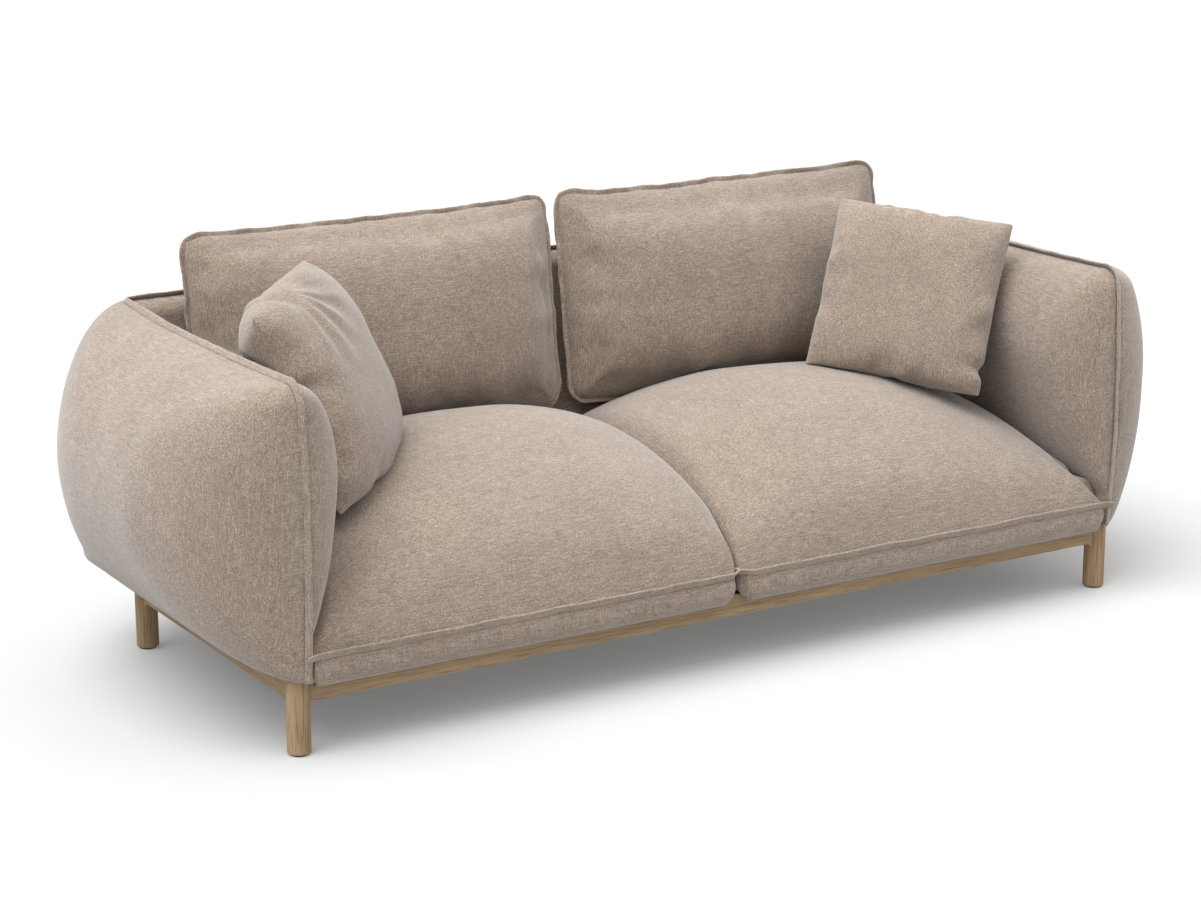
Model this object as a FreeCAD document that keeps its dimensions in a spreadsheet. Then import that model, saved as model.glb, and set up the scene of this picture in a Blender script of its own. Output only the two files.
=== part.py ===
import FreeCAD, Part
import math
import os
import Sketcher

# A two-seat-cushion sofa: an oak plinth on four turned legs, a hardwood deck and
# arm and back frames, foam pads over the frames, and loose cushions.
# Millimetres. +X is the sitter's left to right as seen from the front, +Y runs to
# the back, +Z is up. The origin is on the floor under the middle of the sofa.

SIZES = {
    # plinth
    "leg_reach": 924,        # leg axis, and the seams of arms and back, from the middle
    "leg_front": 423,        # front leg axis in front of the origin
    "leg_rear": 257,         # rear leg axis behind the origin
    "leg_radius": 22,
    "leg_foot_round": 2.5,
    "plinth_top": 142,
    "glide_radius": 17,
    "glide_height": 3,
    "rail_low": 98,
    "rail_thick": 24,
    "rail_half": 12,
    "rail_flare": 9,         # fillet under each rail end, where it meets a leg
    "rail_let_in": 4,        # how far a rail's coped end wraps the round leg
    "rail_edge_round": 2,
    "bearer_width": 45,
    "bearer_half": 22.5,
    "bearer_height": 32,
    "bearer_spacing": 462,
    "block_side": 78,
    "dowel_radius": 4,
    "dowel_length": 32,
    "dowel_low": 110,
    "dowel_high": 130,
    "dowel_inset": 6,        # a dowel starts this far from its leg's axis
    "bolt_level": 120,
    "bolt_inset": 6,         # a corner bolt starts this far from its leg's axis, in x and y
    "bolt_radius": 3,
    "bolt_length": 46,
    "bolt_head_place": 38,   # where its head starts, in x and y from the leg's axis
    "bolt_head_radius": 7,
    "bolt_head_height": 5,
    "screw_radius": 2.5,
    "screw_length": 62,
    "screw_head_radius": 4.5,
    "screw_head_height": 3,
    "screw_front": 395,
    "screw_middle": 100,
    "screw_rear": 200,
    "screw_from_leg": 50,
    "screw_inset": 19,
    "fit": 0.08,             # radial clearance of pins, dowels and screws
    "skin": 1,               # woven dust cover and deck cloth
    # deck
    "deck_low": 143,
    "deck_top": 233,
    "deck_height": 90,
    "deck_front": 408,
    "deck_board": 25,
    "deck_reach": 922,
    "strap_width": 70,
    "strap_thick": 1.5,
    "strap_overlap": 14,
    "strap_first": 110,      # middle of the strap nearest the centre line
    "strap_step": 165,
    "back_strap_step": 200,
    "cross_strap_front": 260,
    "cross_strap_step": 190,
    # arms and back
    "seam_rear": 314,
    "frame_thick": 36,
    "post_width": 45,
    "frame_low": 150,
    "frame_high": 625,
    "arm_setback": 10,       # arm frames start this far behind the front legs' axes
    "foot_rail": 90,
    "top_rail": 70,
    "strap_end": 20,
    "frame_bolt_front": 300,
    "frame_bolt_middle": 60,
    "frame_bolt_rear": 180,
    "frame_bolt_level": 190,
    "frame_bolt_radius": 4,
    "frame_bolt_over": 2,
    "frame_bolt_head_radius": 9,
    "frame_bolt_head_height": 5,
    "pad_low": 142.5,
    "pad_high": 684,
    "nose_front": 472,
    "arm_bulge": 206,
    "back_bulge": 158,
    "inner_bulge": 105,
    "inner_panel": 6,
    "inner_low": 238,
    "inner_bulge_low": 344,
    "panel_lap": 60,         # how far the flat inner panel runs up inside the bulge
    "pocket_clear": 1,
    "mitre_reach": 700,
    "zone_height": 800,
    "beyond": 20,            # how far cutting blocks run past what they cut
    "backrest_foot": 216,
    "backrest_high": 668,
    "backrest_round": 30,
    # seat cushions
    "seat_gap": 1.5,
    "seat_reach": 916,
    "seat_front": 464,
    "seat_rear": 214,
    "seat_low": 143,
    "seat_under": 238,
    "seat_welt": 192,
    "seat_crown": 456,
    "seat_corner": 60,
    "seat_rear_top": 348,
    "seat_rear_arc": 690,
    "seat_crown_front": 40,
    "seat_crown_arc": 560,
    "seat_nose_depth": 118,
    "seat_nose_top": 386,
    "seat_nose_arc": 205,
    "seat_foot_round": 36,
    "seat_arm_top": 306,
    "seat_arm_arc": 130,
    "seat_shoulder": 62,
    "seat_shoulder_top": 352,
    "seat_shoulder_arc": 620,
    "seat_crown_side": 320,
    "seat_middle_arc": 590,
    "seat_middle_top": 372,
    # back cushions
    "back_half_width": 401,
    "back_half_height": 221,
    "back_centre_x": 411,
    "back_foot_level": 378,
    "back_rear_depth": 42,
    "back_front_depth": 112,
    "back_corner": 46,
    "back_press": 1.03,      # the cushion's rear is held this much clear of the backrest
    # throw pillows
    "pillow_half": 174,
    "pillow_depth": 58,
    "pillow_corner": 56,
}

RECLINE = 8.8                # backrest and back cushions lean back, degrees
SUPERELLIPSE = 2.35          # fullness of every padded edge
LEVELS = 9                   # horizontal outlines in each lofted arm pad
CUSHION_ANGLES = (-72, -52, -34, -16, 0, 16, 34, 52, 72)
BACK_TAPER = (110, 34)       # how far the front and rear faces of a back cushion draw in
PILLOW_TAPER = (92, 92)

doc = FreeCAD.newDocument("sofa")
sheet = doc.addObject("Spreadsheet::Sheet", "sizes")
for row, (alias, number) in enumerate(SIZES.items(), start=1):
    sheet.set(f"A{row}", alias)
    sheet.set(f"B{row}", str(number))
    sheet.setAlias(f"B{row}", alias)
doc.recompute()

nodes = []


def is_alias(token):
    return token in SIZES


def formula(text):
    """The FreeCAD expression for a sum such as 'leg_reach - arm_bulge * 0.5'."""
    return " ".join("sizes." + token if is_alias(token) else token for token in text.split())


def length(text):
    """The value of the same sum, in millimetres."""
    total = 0.0
    sign = 1.0
    product = None
    for token in text.split():
        if token in "+-":
            if product is not None:
                total += sign * product
                product = None
                sign = 1.0
            if token == "-":
                sign = -sign
        elif token != "*":
            factor = float(sheet.get(token)) if is_alias(token) else float(token)
            product = factor if product is None else product * factor
    return total + sign * product


def bind(item, **sizes):
    for name, text in sizes.items():
        item.setExpression(name, formula(text))


def place(item, x="0", y="0", z="0"):
    item.setExpression("Placement.Base.x", formula(x))
    item.setExpression("Placement.Base.y", formula(y))
    item.setExpression("Placement.Base.z", formula(z))


def keep(item, label):
    """Name a finished sub-part; its label is also its file's name."""
    item.Label = label
    nodes.append(item)
    return item


def box(name, x, y, z, along_x, along_y, along_z):
    item = doc.addObject("Part::Box", name)
    bind(item, Length=along_x, Width=along_y, Height=along_z)
    place(item, x, y, z)
    return item


def cylinder(name, x, y, z, radius, height, direction=(0, 0, 1)):
    item = doc.addObject("Part::Cylinder", name)
    bind(item, Radius=radius, Height=height)
    turn = FreeCAD.Rotation(FreeCAD.Vector(0, 0, 1), FreeCAD.Vector(*direction))
    item.Placement = FreeCAD.Placement(FreeCAD.Vector(0, 0, 0), turn)
    place(item, x, y, z)
    return item


def cut(name, base, tools):
    tool = tools[0]
    if len(tools) > 1:
        tool = doc.addObject("Part::MultiFuse", name + "_tools")
        tool.Shapes = tools
    item = doc.addObject("Part::Cut", name)
    item.Base = base
    item.Tool = tool
    return item


def common(name, shapes):
    item = doc.addObject("Part::MultiCommon", name)
    item.Shapes = shapes
    return item


def fuse(name, shapes):
    item = doc.addObject("Part::MultiFuse", name)
    item.Shapes = shapes
    return item


def group(name, shapes):
    item = doc.addObject("Part::Compound", name)
    item.Links = shapes
    return item


def origin_plane(body, role):
    for feature in body.Origin.OriginFeatures:
        if feature.Role == role:
            return feature
    raise RuntimeError("no plane " + role)


def arc_between(start, end, radius):
    """An arc from start to end; its centre is to the left, or to the right if radius < 0."""
    chord = end - start
    half = chord.Length / 2
    size = abs(radius)
    left = FreeCAD.Vector(-chord.y, chord.x, 0).normalize()
    side = 1 if radius > 0 else -1
    rise = math.sqrt(max(size * size - half * half, 0.0))
    centre = start + chord * 0.5 + left * (side * rise)
    first, last = (start, end) if radius > 0 else (end, start)
    low = math.atan2(first.y - centre.y, first.x - centre.x)
    high = math.atan2(last.y - centre.y, last.x - centre.x)
    if high < low:
        high += 2 * math.pi
    return Part.ArcOfCircle(Part.Circle(centre, FreeCAD.Vector(0, 0, 1), size), low, high)


def outline(body, name, role, points, level="0"):
    """A closed sketch on one of the body's planes, at a level above it.

    Each point is (x, y) or (x, y, radius): the radius bends the edge that leaves the point.
    """
    sketch = body.newObject("Sketcher::SketchObject", name)
    sketch.AttachmentSupport = [(origin_plane(body, role), "")]
    sketch.MapMode = "FlatFace"
    sketch.setExpression("AttachmentOffset.Base.z", formula(level))
    corners = [FreeCAD.Vector(length(point[0]), length(point[1]), 0) for point in points]
    ends = []
    for index, point in enumerate(points):
        start = corners[index]
        end = corners[(index + 1) % len(points)]
        if len(point) == 3:
            radius = length(point[2])
            sketch.addGeometry(arc_between(start, end, radius), False)
            ends.append((1, 2) if radius > 0 else (2, 1))
        else:
            sketch.addGeometry(Part.LineSegment(start, end), False)
            ends.append((1, 2))
    for index, point in enumerate(points):
        after = (index + 1) % len(points)
        sketch.addConstraint(
            Sketcher.Constraint("Coincident", index, ends[index][1], after, ends[after][0])
        )
        for kind, text in (("DistanceX", point[0]), ("DistanceY", point[1])):
            row = sketch.addConstraint(
                Sketcher.Constraint(kind, -1, 1, index, ends[index][0], length(text))
            )
            sketch.setExpression(f"Constraints[{row}]", formula(text))
        if len(point) == 3:
            size = point[2].lstrip("- ")
            row = sketch.addConstraint(Sketcher.Constraint("Radius", index, length(size)))
            sketch.setExpression(f"Constraints[{row}]", formula(size))
    return sketch


def extrude(name, role, points, depth, start="0"):
    """A PartDesign body with one padded outline, from start along the plane's normal."""
    body = doc.addObject("PartDesign::Body", name)
    sketch = outline(body, name + "_outline", role, points, start)
    pad = body.newObject("PartDesign::Pad", name + "_pad")
    pad.Profile = sketch
    pad.setExpression("Length", formula(depth))
    return body


def loft(name, role, levels):
    """A PartDesign body lofted through outlines; levels is a list of (level, points)."""
    body = doc.addObject("PartDesign::Body", name)
    sketches = [
        outline(body, f"{name}_level_{index}", role, points, level)
        for index, (level, points) in enumerate(levels)
    ]
    feature = body.newObject("PartDesign::AdditiveLoft", name + "_loft")
    feature.Profile = sketches[0]
    feature.Sections = sketches[1:]
    return body


def swell(angle):
    """Height and reach, each from 0 to 1, of a superellipse at an angle in degrees."""
    power = 2 / SUPERELLIPSE
    lift = math.sin(math.radians(angle))
    reach = math.cos(math.radians(angle))
    return math.copysign(abs(lift) ** power, lift), reach**power


def side_name(side):
    return "left" if side < 0 else "right"


def signed(side, text):
    """The same length on the left or the right of the middle."""
    return text if side > 0 else "- " + text.replace(" - ", " ~ ").replace(" + ", " - ").replace(
        " ~ ", " + "
    )


# ---------------------------------------------------------------- plinth

def leg_blank(name, radius):
    """A turned leg with a rounded foot, standing on its glide."""
    body = doc.addObject("PartDesign::Body", name)
    sketch = outline(
        body,
        name + "_outline",
        "XZ_Plane",
        [
            ("0", "glide_height"),
            (radius + " - leg_foot_round", "glide_height", "leg_foot_round"),
            (radius, "glide_height + leg_foot_round"),
            (radius, "plinth_top"),
            ("0", "plinth_top"),
        ],
    )
    turned = body.newObject("PartDesign::Revolution", name + "_turned")
    turned.Profile = sketch
    turned.ReferenceAxis = (sketch, ["V_Axis"])
    turned.Angle = 360
    return body


def dowel(name, x, y, z, along_x, along_y, radius):
    """A dowel that starts inside a leg and runs into the rail."""
    return cylinder(name, x, y, z, radius, "dowel_length", (along_x, along_y, 0))


def corner_places():
    for depth, row in (("- leg_front", "front"), ("leg_rear", "rear")):
        for side in (-1, 1):
            yield side, row, signed(side, "leg_reach"), depth


def plinth_dowels(radius, kind):
    """The dowels of every leg; into the long rail and into the short one."""
    found = {}
    for side, row, x, y in corner_places():
        inward = 1 if row == "front" else -1
        start_x = x + (" + " if side < 0 else " - ") + "dowel_inset"
        start_y = y + (" + " if row == "front" else " - ") + "dowel_inset"
        for level in ("dowel_low", "dowel_high"):
            name = f"{kind}_{row}_{side_name(side)}_{level}"
            long_one = dowel(name + "_x", start_x, y, level, -side, 0, radius)
            short_one = dowel(name + "_y", x, start_y, level, 0, inward, radius)
            found.setdefault((side, row), []).extend([long_one, short_one])
    return found


def corner_bolt(name, side, row, grow):
    """A hanger bolt with a hexagon head, from the corner block into the leg."""
    inward_x = -side
    inward_y = 1 if row == "front" else -1
    y = "- leg_front" if row == "front" else "leg_rear"
    x = signed(side, "leg_reach")
    step_x = " + " if inward_x > 0 else " - "
    step_y = " + " if inward_y > 0 else " - "
    shank = cylinder(
        name + "_shank", x + step_x + "bolt_inset", y + step_y + "bolt_inset", "bolt_level",
        "bolt_radius" + grow, "bolt_length", (inward_x, inward_y, 0),
    )
    head = cylinder(
        name + "_head", x + step_x + "bolt_head_place", y + step_y + "bolt_head_place",
        "bolt_level", "bolt_head_radius" + grow, "bolt_head_height", (inward_x, inward_y, 0),
    )
    return fuse(name, [shank, head])


dowels = plinth_dowels("dowel_radius", "dowel")
dowel_holes = plinth_dowels("dowel_radius + fit", "dowel_hole")
keep(group("dowel_set", [item for row in dowels.values() for item in row]), "rail_dowels")

bolts = {}
bolt_holes = {}
for side, row, x, y in corner_places():
    name = f"{row}_{side_name(side)}"
    bolts[side, row] = corner_bolt("corner_bolt_" + name, side, row, "")
    bolt_holes[side, row] = corner_bolt("corner_bolt_hole_" + name, side, row, " + fit")
keep(group("corner_bolt_set", list(bolts.values())), "corner_bolts")

for side, row, x, y in corner_places():
    name = f"{row}_{side_name(side)}"
    blank = leg_blank("leg_blank_" + name, "leg_radius")
    place(blank, x, y)
    holes = dowel_holes[side, row] + [bolt_holes[side, row]]
    keep(cut("leg_cut_" + name, blank, holes), "leg_" + name)
    glide = cylinder("glide_disc_" + name, x, y, "0", "glide_radius", "glide_height")
    keep(glide, "glide_" + name)

leg_clearances = []
for side, row, x, y in corner_places():
    name = f"leg_clearance_{row}_{side_name(side)}"
    leg_clearances.append(cylinder(name, x, y, "0", "leg_radius + fit", "plinth_top + beyond"))
all_dowel_holes = [item for row in dowel_holes.values() for item in row]


def rail_outline(reach_low, reach_high):
    """Side view of a rail, with a small fillet down each leg."""
    return [
        (reach_low + " - rail_let_in", "rail_low - rail_flare"),
        (reach_low, "rail_low - rail_flare", "- rail_flare"),
        (reach_low + " + rail_flare", "rail_low"),
        (reach_high + " - rail_flare", "rail_low", "- rail_flare"),
        (reach_high, "rail_low - rail_flare"),
        (reach_high + " + rail_let_in", "rail_low - rail_flare"),
        (reach_high + " + rail_let_in", "plinth_top"),
        (reach_low + " - rail_let_in", "plinth_top"),
    ]


def soften(body, along):
    """Round the long edges of a rail; along is the direction they run in."""
    doc.recompute()
    pad = body.Tip
    names = []
    for number, edge in enumerate(pad.Shape.Edges, start=1):
        run = edge.Vertexes[-1].Point - edge.Vertexes[0].Point
        if run.Length > 300 and abs(run.normalize().dot(along)) > 0.999:
            names.append(f"Edge{number}")
    rounded = body.newObject("PartDesign::Fillet", body.Name + "_rounded")
    rounded.Base = (pad, names)
    rounded.setExpression("Radius", formula("rail_edge_round"))


leg_face = "leg_reach - leg_radius"
for row, y in (("front", "- leg_front"), ("rear", "leg_rear")):
    side_view = rail_outline("- leg_reach + leg_radius", leg_face)
    blank = extrude("rail_blank_" + row, "XZ_Plane", side_view, "rail_thick", "- rail_half")
    soften(blank, FreeCAD.Vector(1, 0, 0))
    place(blank, "0", y)
    keep(cut("rail_cut_" + row, blank, leg_clearances + all_dowel_holes), "rail_" + row)

for side in (-1, 1):
    name = side_name(side)
    side_view = rail_outline("- leg_front + leg_radius", "leg_rear - leg_radius")
    blank = extrude("rail_blank_" + name, "YZ_Plane", side_view, "rail_thick", "- rail_half")
    soften(blank, FreeCAD.Vector(0, 1, 0))
    place(blank, signed(side, "leg_reach"))
    keep(cut("rail_cut_" + name, blank, leg_clearances + all_dowel_holes), "rail_" + name)


# ---------------------------------------------------------------- deck

def deck_screw(name, x, y, grow):
    """A countersunk screw up through the plinth into the deck frame."""
    foot = "plinth_top - bearer_height"
    shank = cylinder(name + "_shank", x, y, foot, "screw_radius" + grow, "screw_length")
    head = cylinder(name + "_head", x, y, foot, "screw_head_radius" + grow,
                    "screw_head_height")
    return fuse(name, [shank, head])


screw_places = [("0", "- screw_front"), ("0", "- screw_middle"), ("0", "screw_rear")]
screw_places += [(signed(side, "bearer_spacing"), "- screw_front") for side in (-1, 1)]
for y in ("- leg_front + screw_from_leg", "leg_rear - screw_from_leg"):
    screw_places += [(signed(side, "leg_reach - screw_inset"), y) for side in (-1, 1)]
screws = []
screw_holes = []
for number, (x, y) in enumerate(screw_places, start=1):
    screws.append(deck_screw(f"deck_screw_{number}", x, y, ""))
    screw_holes.append(deck_screw(f"deck_screw_hole_{number}", x, y, " + fit"))
keep(group("deck_screw_set", screws), "deck_screws")

blocks = []
for side, row, x, y in corner_places():
    inward = 1 if row == "front" else -1
    corner_x = x + (" + " if side < 0 else " - ") + "rail_half"
    corner_y = y + (" + " if row == "front" else " - ") + "rail_half"
    far_x = corner_x + (" + " if side < 0 else " - ") + "block_side"
    far_y = corner_y + (" + " if row == "front" else " - ") + "block_side"
    corners = [(corner_x, corner_y), (far_x, corner_y), (corner_x, far_y)]
    if side * inward > 0:
        corners.reverse()
    name = f"{row}_{side_name(side)}"
    blank = extrude("block_blank_" + name, "XY_Plane", corners, "bearer_height",
                    "plinth_top - bearer_height")
    tools = [bolt_holes[side, row]] + leg_clearances + screw_holes
    blocks.append(cut("block_cut_" + name, blank, tools))
keep(group("corner_block_set", blocks), "corner_blocks")

for label, x in (("left", "- bearer_spacing"), ("centre", "0"), ("right", "bearer_spacing")):
    bar = box(
        "bearer_blank_" + label, x + " - bearer_half", "- leg_front + rail_half",
        "plinth_top - bearer_height", "bearer_width",
        "leg_front + leg_rear - rail_thick", "bearer_height",
    )
    keep(cut("bearer_cut_" + label, bar, screw_holes), "bearer_" + label)

dust = box("dust_sheet", "- deck_reach", "- deck_front", "plinth_top",
           "deck_reach + deck_reach", "deck_front + seam_rear", "skin")
keep(cut("dust_cut", dust, screw_holes), "dust_cover")

frame_bolt_places = ("- frame_bolt_front", "- frame_bolt_middle", "frame_bolt_rear")
frame_bolts = []
frame_bolt_holes = []
for side in (-1, 1):
    for index, y in enumerate(frame_bolt_places):
        name = f"frame_bolt_{side_name(side)}_{index}"
        for kind, grow, found in (("", "", frame_bolts), ("_hole", " + fit", frame_bolt_holes)):
            inside = "deck_reach - deck_board"
            head_start = inside + " - frame_bolt_head_height"
            shank = cylinder(name + kind + "_shank", signed(side, inside), y,
                             "frame_bolt_level", "frame_bolt_radius" + grow,
                             "deck_board + frame_bolt_over + frame_thick", (side, 0, 0))
            head = cylinder(name + kind + "_head", signed(side, head_start), y,
                            "frame_bolt_level", "frame_bolt_head_radius" + grow,
                            "frame_bolt_head_height", (side, 0, 0))
            found.append(fuse(name + kind, [shank, head]))
keep(group("frame_bolt_set", frame_bolts), "frame_bolts")

deck_holes = screw_holes + frame_bolt_holes
deck_span = "deck_front + seam_rear - deck_board - deck_board"
boards = {
    "deck_rail_front": ("- deck_reach", "- deck_front", "deck_reach + deck_reach", "deck_board"),
    "deck_rail_rear": ("- deck_reach", "seam_rear - deck_board", "deck_reach + deck_reach",
                       "deck_board"),
    "deck_rail_left": ("- deck_reach", "- deck_front + deck_board", "deck_board", deck_span),
    "deck_rail_centre": ("- deck_board * 0.5", "- deck_front + deck_board", "deck_board",
                         deck_span),
    "deck_rail_right": ("deck_reach - deck_board", "- deck_front + deck_board", "deck_board",
                        deck_span),
}
for label, (x, y, along_x, along_y) in boards.items():
    board = box(label + "_blank", x, y, "deck_low", along_x, along_y, "deck_height")
    keep(cut(label + "_cut", board, deck_holes), label)

straps = []
for side in (-1, 1):
    for step in range(5):
        middle = f"strap_first + strap_step * {step}"
        x = signed(side, middle) + " - strap_width * 0.5"
        straps.append(
            box(f"strap_{side_name(side)}_{step}", x, "- deck_front + strap_overlap * 0.5",
                "deck_top", "strap_width", "deck_front + seam_rear - strap_overlap",
                "strap_thick")
        )
keep(group("strap_set", straps), "seat_webbing_lengthwise")

cross_straps = []
for step in range(3):
    cross_straps.append(
        box(f"cross_strap_{step}", "- deck_reach + strap_overlap * 0.5",
            f"- cross_strap_front + cross_strap_step * {step}", "deck_top + strap_thick",
            "deck_reach + deck_reach - strap_overlap", "strap_width",
            "strap_thick")
    )
keep(group("cross_strap_set", cross_straps), "seat_webbing_crosswise")

deck_cloth = box("deck_cloth_sheet", "- deck_reach", "- deck_front",
                 "deck_top + strap_thick + strap_thick", "deck_reach + deck_reach",
                 "deck_front + backrest_foot", "skin")
keep(deck_cloth, "deck_cloth")


# ---------------------------------------------------------------- arm and back frames

def arm_board(label, side, y, z, along_y, along_z):
    """A board of one arm's frame, upright against the seam plane."""
    x = "leg_reach" if side > 0 else "- leg_reach - frame_thick"
    board = box(label + "_blank", x, y, z, "frame_thick", along_y, along_z)
    keep(cut(label + "_cut", board, frame_bolt_holes), label)


arm_start = "- leg_front + arm_setback"
rear_post = "seam_rear - post_width"
for side in (-1, 1):
    name = side_name(side)
    post_height = "frame_high - frame_low"
    arm_board("arm_post_front_" + name, side, arm_start, "frame_low", "post_width", post_height)
    arm_board("arm_post_rear_" + name, side, rear_post, "frame_low", "post_width", post_height)
    between = arm_start + " + post_width"
    span = "seam_rear + leg_front - arm_setback - post_width - post_width"
    arm_board("arm_bottom_rail_" + name, side, between, "frame_low", span, "foot_rail")
    arm_board("arm_top_rail_" + name, side, between, "frame_high - top_rail", span, "top_rail")

back_width = "leg_reach + leg_reach"
back_face = "seam_rear + strap_thick"
back_span = "frame_high - frame_low - foot_rail - top_rail"
keep(box("back_bottom_board", "- leg_reach", back_face, "frame_low", back_width,
         "frame_thick", "foot_rail"), "back_bottom_rail")
keep(box("back_top_board", "- leg_reach", back_face, "frame_high - top_rail", back_width,
         "frame_thick", "top_rail"), "back_top_rail")
for label, x in (("left", "- leg_reach"), ("centre", "- post_width * 0.5"),
                 ("right", "leg_reach - post_width")):
    keep(box("back_post_board_" + label, x, back_face, "frame_low + foot_rail", "post_width",
             "frame_thick", back_span), "back_post_" + label)

back_straps = []
for side in (-1, 1):
    for step in range(4):
        middle = f"strap_first + back_strap_step * {step}"
        x = signed(side, middle) + " - strap_width * 0.5"
        back_straps.append(
            box(f"back_strap_{side_name(side)}_{step}", x, "seam_rear",
                "frame_low + strap_end", "strap_width", "strap_thick",
                "frame_high - frame_low - strap_end - strap_end")
        )
keep(group("back_strap_set", back_straps), "back_webbing")


# ---------------------------------------------------------------- pads

def shell_outline(reach):
    """Plan of the upholstered shell where it swells by reach (0 to 1) of its bulge."""
    side_reach = f"arm_bulge * {reach:.4f}"
    back_reach = f"back_bulge * {reach:.4f}"
    corner = f"arm_bulge * {1.8 * reach:.4f}"
    back_line = f"seam_rear + {back_reach}"
    flank = f"leg_reach + {side_reach}"
    turn_x = f"leg_reach - arm_bulge * {0.8 * reach:.4f}"
    turn_y = f"{back_line} - {corner}"
    nose_end = f"- nose_front + {side_reach}"
    return [
        ("- leg_reach", "- nose_front"),
        ("leg_reach", "- nose_front", side_reach),
        (flank, nose_end),
        (flank, turn_y, corner),
        (turn_x, back_line),
        (signed(-1, turn_x), back_line, corner),
        (signed(-1, flank), turn_y),
        (signed(-1, flank), nose_end, side_reach),
    ]


def swelling_levels(low, high, make_points, first_angle, last_angle):
    """Outlines from low to high whose reach follows the superellipse."""
    levels = []
    for step in range(LEVELS):
        angle = first_angle + (last_angle - first_angle) * step / (LEVELS - 1)
        lift, reach = swell(angle)
        share = 0.5 + 0.5 * lift
        level = f"{low} * {1 - share:.5f} + {high} * {share:.5f}"
        levels.append((level, make_points(reach)))
    return levels


shell = loft("shell_loft", "XY_Plane",
             swelling_levels("pad_low", "pad_high", shell_outline, -84, 84))
well = box("shell_well", "- leg_reach", "- nose_front - beyond", "0",
           "leg_reach + leg_reach", "nose_front + beyond + seam_rear", "pad_high + beyond")
hollow_shell = cut("shell_hollow", shell, [well])

# The mitres run outwards and back from the corners where the frames meet.
mitre_left = "- leg_reach - mitre_reach"
mitre_right = "leg_reach + mitre_reach"
mitre_rear = "seam_rear + mitre_reach"
arm_zone_points = {
    1: [("leg_reach", "- mitre_reach"), (mitre_right, "- mitre_reach"),
        (mitre_right, mitre_rear), ("leg_reach", "seam_rear")],
    -1: [("- leg_reach", "seam_rear"), (mitre_left, mitre_rear),
         (mitre_left, "- mitre_reach"), ("- leg_reach", "- mitre_reach")],
}
arm_zones = {side: extrude("arm_zone_" + side_name(side), "XY_Plane", points, "zone_height")
             for side, points in arm_zone_points.items()}
back_zone = extrude(
    "back_zone", "XY_Plane",
    [("- leg_reach", "seam_rear"), ("leg_reach", "seam_rear"),
     (mitre_right, mitre_rear), (mitre_left, mitre_rear)],
    "zone_height",
)


def arm_pocket(side):
    """The room that an arm's timber frame takes out of its pads."""
    x = "leg_reach - pocket_clear" if side > 0 else "- leg_reach - frame_thick"
    return box("arm_pocket_" + side_name(side), x, arm_start, "frame_low",
               "frame_thick + pocket_clear", "seam_rear + leg_front - arm_setback",
               "frame_high - frame_low")


back_pocket = box("back_pocket", "- leg_reach", "seam_rear - pocket_clear", "frame_low",
                  back_width, "strap_thick + frame_thick + pocket_clear",
                  "frame_high - frame_low")

for side in (-1, 1):
    name = side_name(side)
    whole = common("arm_outer_whole_" + name, [hollow_shell, arm_zones[side]])
    tools = [arm_pocket(side)]
    keep(cut("arm_outer_cut_" + name, whole, tools), "arm_outer_pad_" + name)
whole = common("back_outer_whole", [hollow_shell, back_zone])
keep(cut("back_outer_cut", whole, [back_pocket]), "back_outer_pad")


def backrest_y(level):
    """Depth of the reclined backrest face at a height above the deck."""
    rise = math.tan(math.radians(RECLINE))
    return f"backrest_foot + {level} * {rise:.5f} - inner_low * {rise:.5f}"


back_inner = extrude(
    "back_inner_profile", "YZ_Plane",
    [
        ("backrest_foot", "inner_low"),
        ("seam_rear", "inner_low"),
        ("seam_rear", "pad_high", "backrest_round"),
        (backrest_y("backrest_high"), "backrest_high"),
    ],
    "leg_reach + leg_reach", "- leg_reach",
)
keep(back_inner, "back_inner_pad")


def inner_outline(side):
    """Plan of one arm's inner pad where it swells by reach (0 to 1) of its bulge."""

    def points(reach):
        depth = f"inner_bulge * {reach:.4f}"
        seam = signed(side, "leg_reach")
        face = signed(side, "leg_reach - " + depth)
        radius = depth if side < 0 else "- " + depth
        found = [
            (seam, "- nose_front", radius),
            (face, "- nose_front + " + depth),
            (face, "seam_rear"),
            (seam, "seam_rear"),
        ]
        return found

    return points


for side in (-1, 1):
    name = side_name(side)
    bulge = loft("arm_inner_loft_" + name, "XY_Plane",
                 swelling_levels("inner_bulge_low", "pad_high", inner_outline(side), -80, 84))
    x = "leg_reach - inner_panel" if side > 0 else "- leg_reach"
    panel = box("arm_inner_panel_" + name, x, "- leg_front", "inner_low", "inner_panel",
                "leg_front + seam_rear", "inner_bulge_low - inner_low + panel_lap")
    joined = fuse("arm_inner_joined_" + name, [bulge, panel])
    keep(cut("arm_inner_cut_" + name, joined, [back_inner]), "arm_inner_pad_" + name)


# ---------------------------------------------------------------- seat cushions

seat_side_view = [
    ("- deck_front - skin", "seat_low"),
    ("seat_rear", "seat_low"),
    ("seat_rear", "seat_rear_top", "seat_rear_arc"),
    ("- seat_crown_front", "seat_crown", "seat_crown_arc"),
    ("- seat_front + seat_nose_depth", "seat_nose_top", "seat_nose_arc"),
    ("- seat_front", "seat_welt"),
    ("- seat_front", "seat_low + seat_foot_round", "seat_foot_round"),
    ("- seat_front + seat_foot_round", "seat_low"),
]
seat_room = box("seat_deck_room", "- deck_reach - beyond", "- deck_front - skin", "0",
                "deck_reach + deck_reach + beyond * 2", "deck_front + seam_rear", "seat_under")


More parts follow.
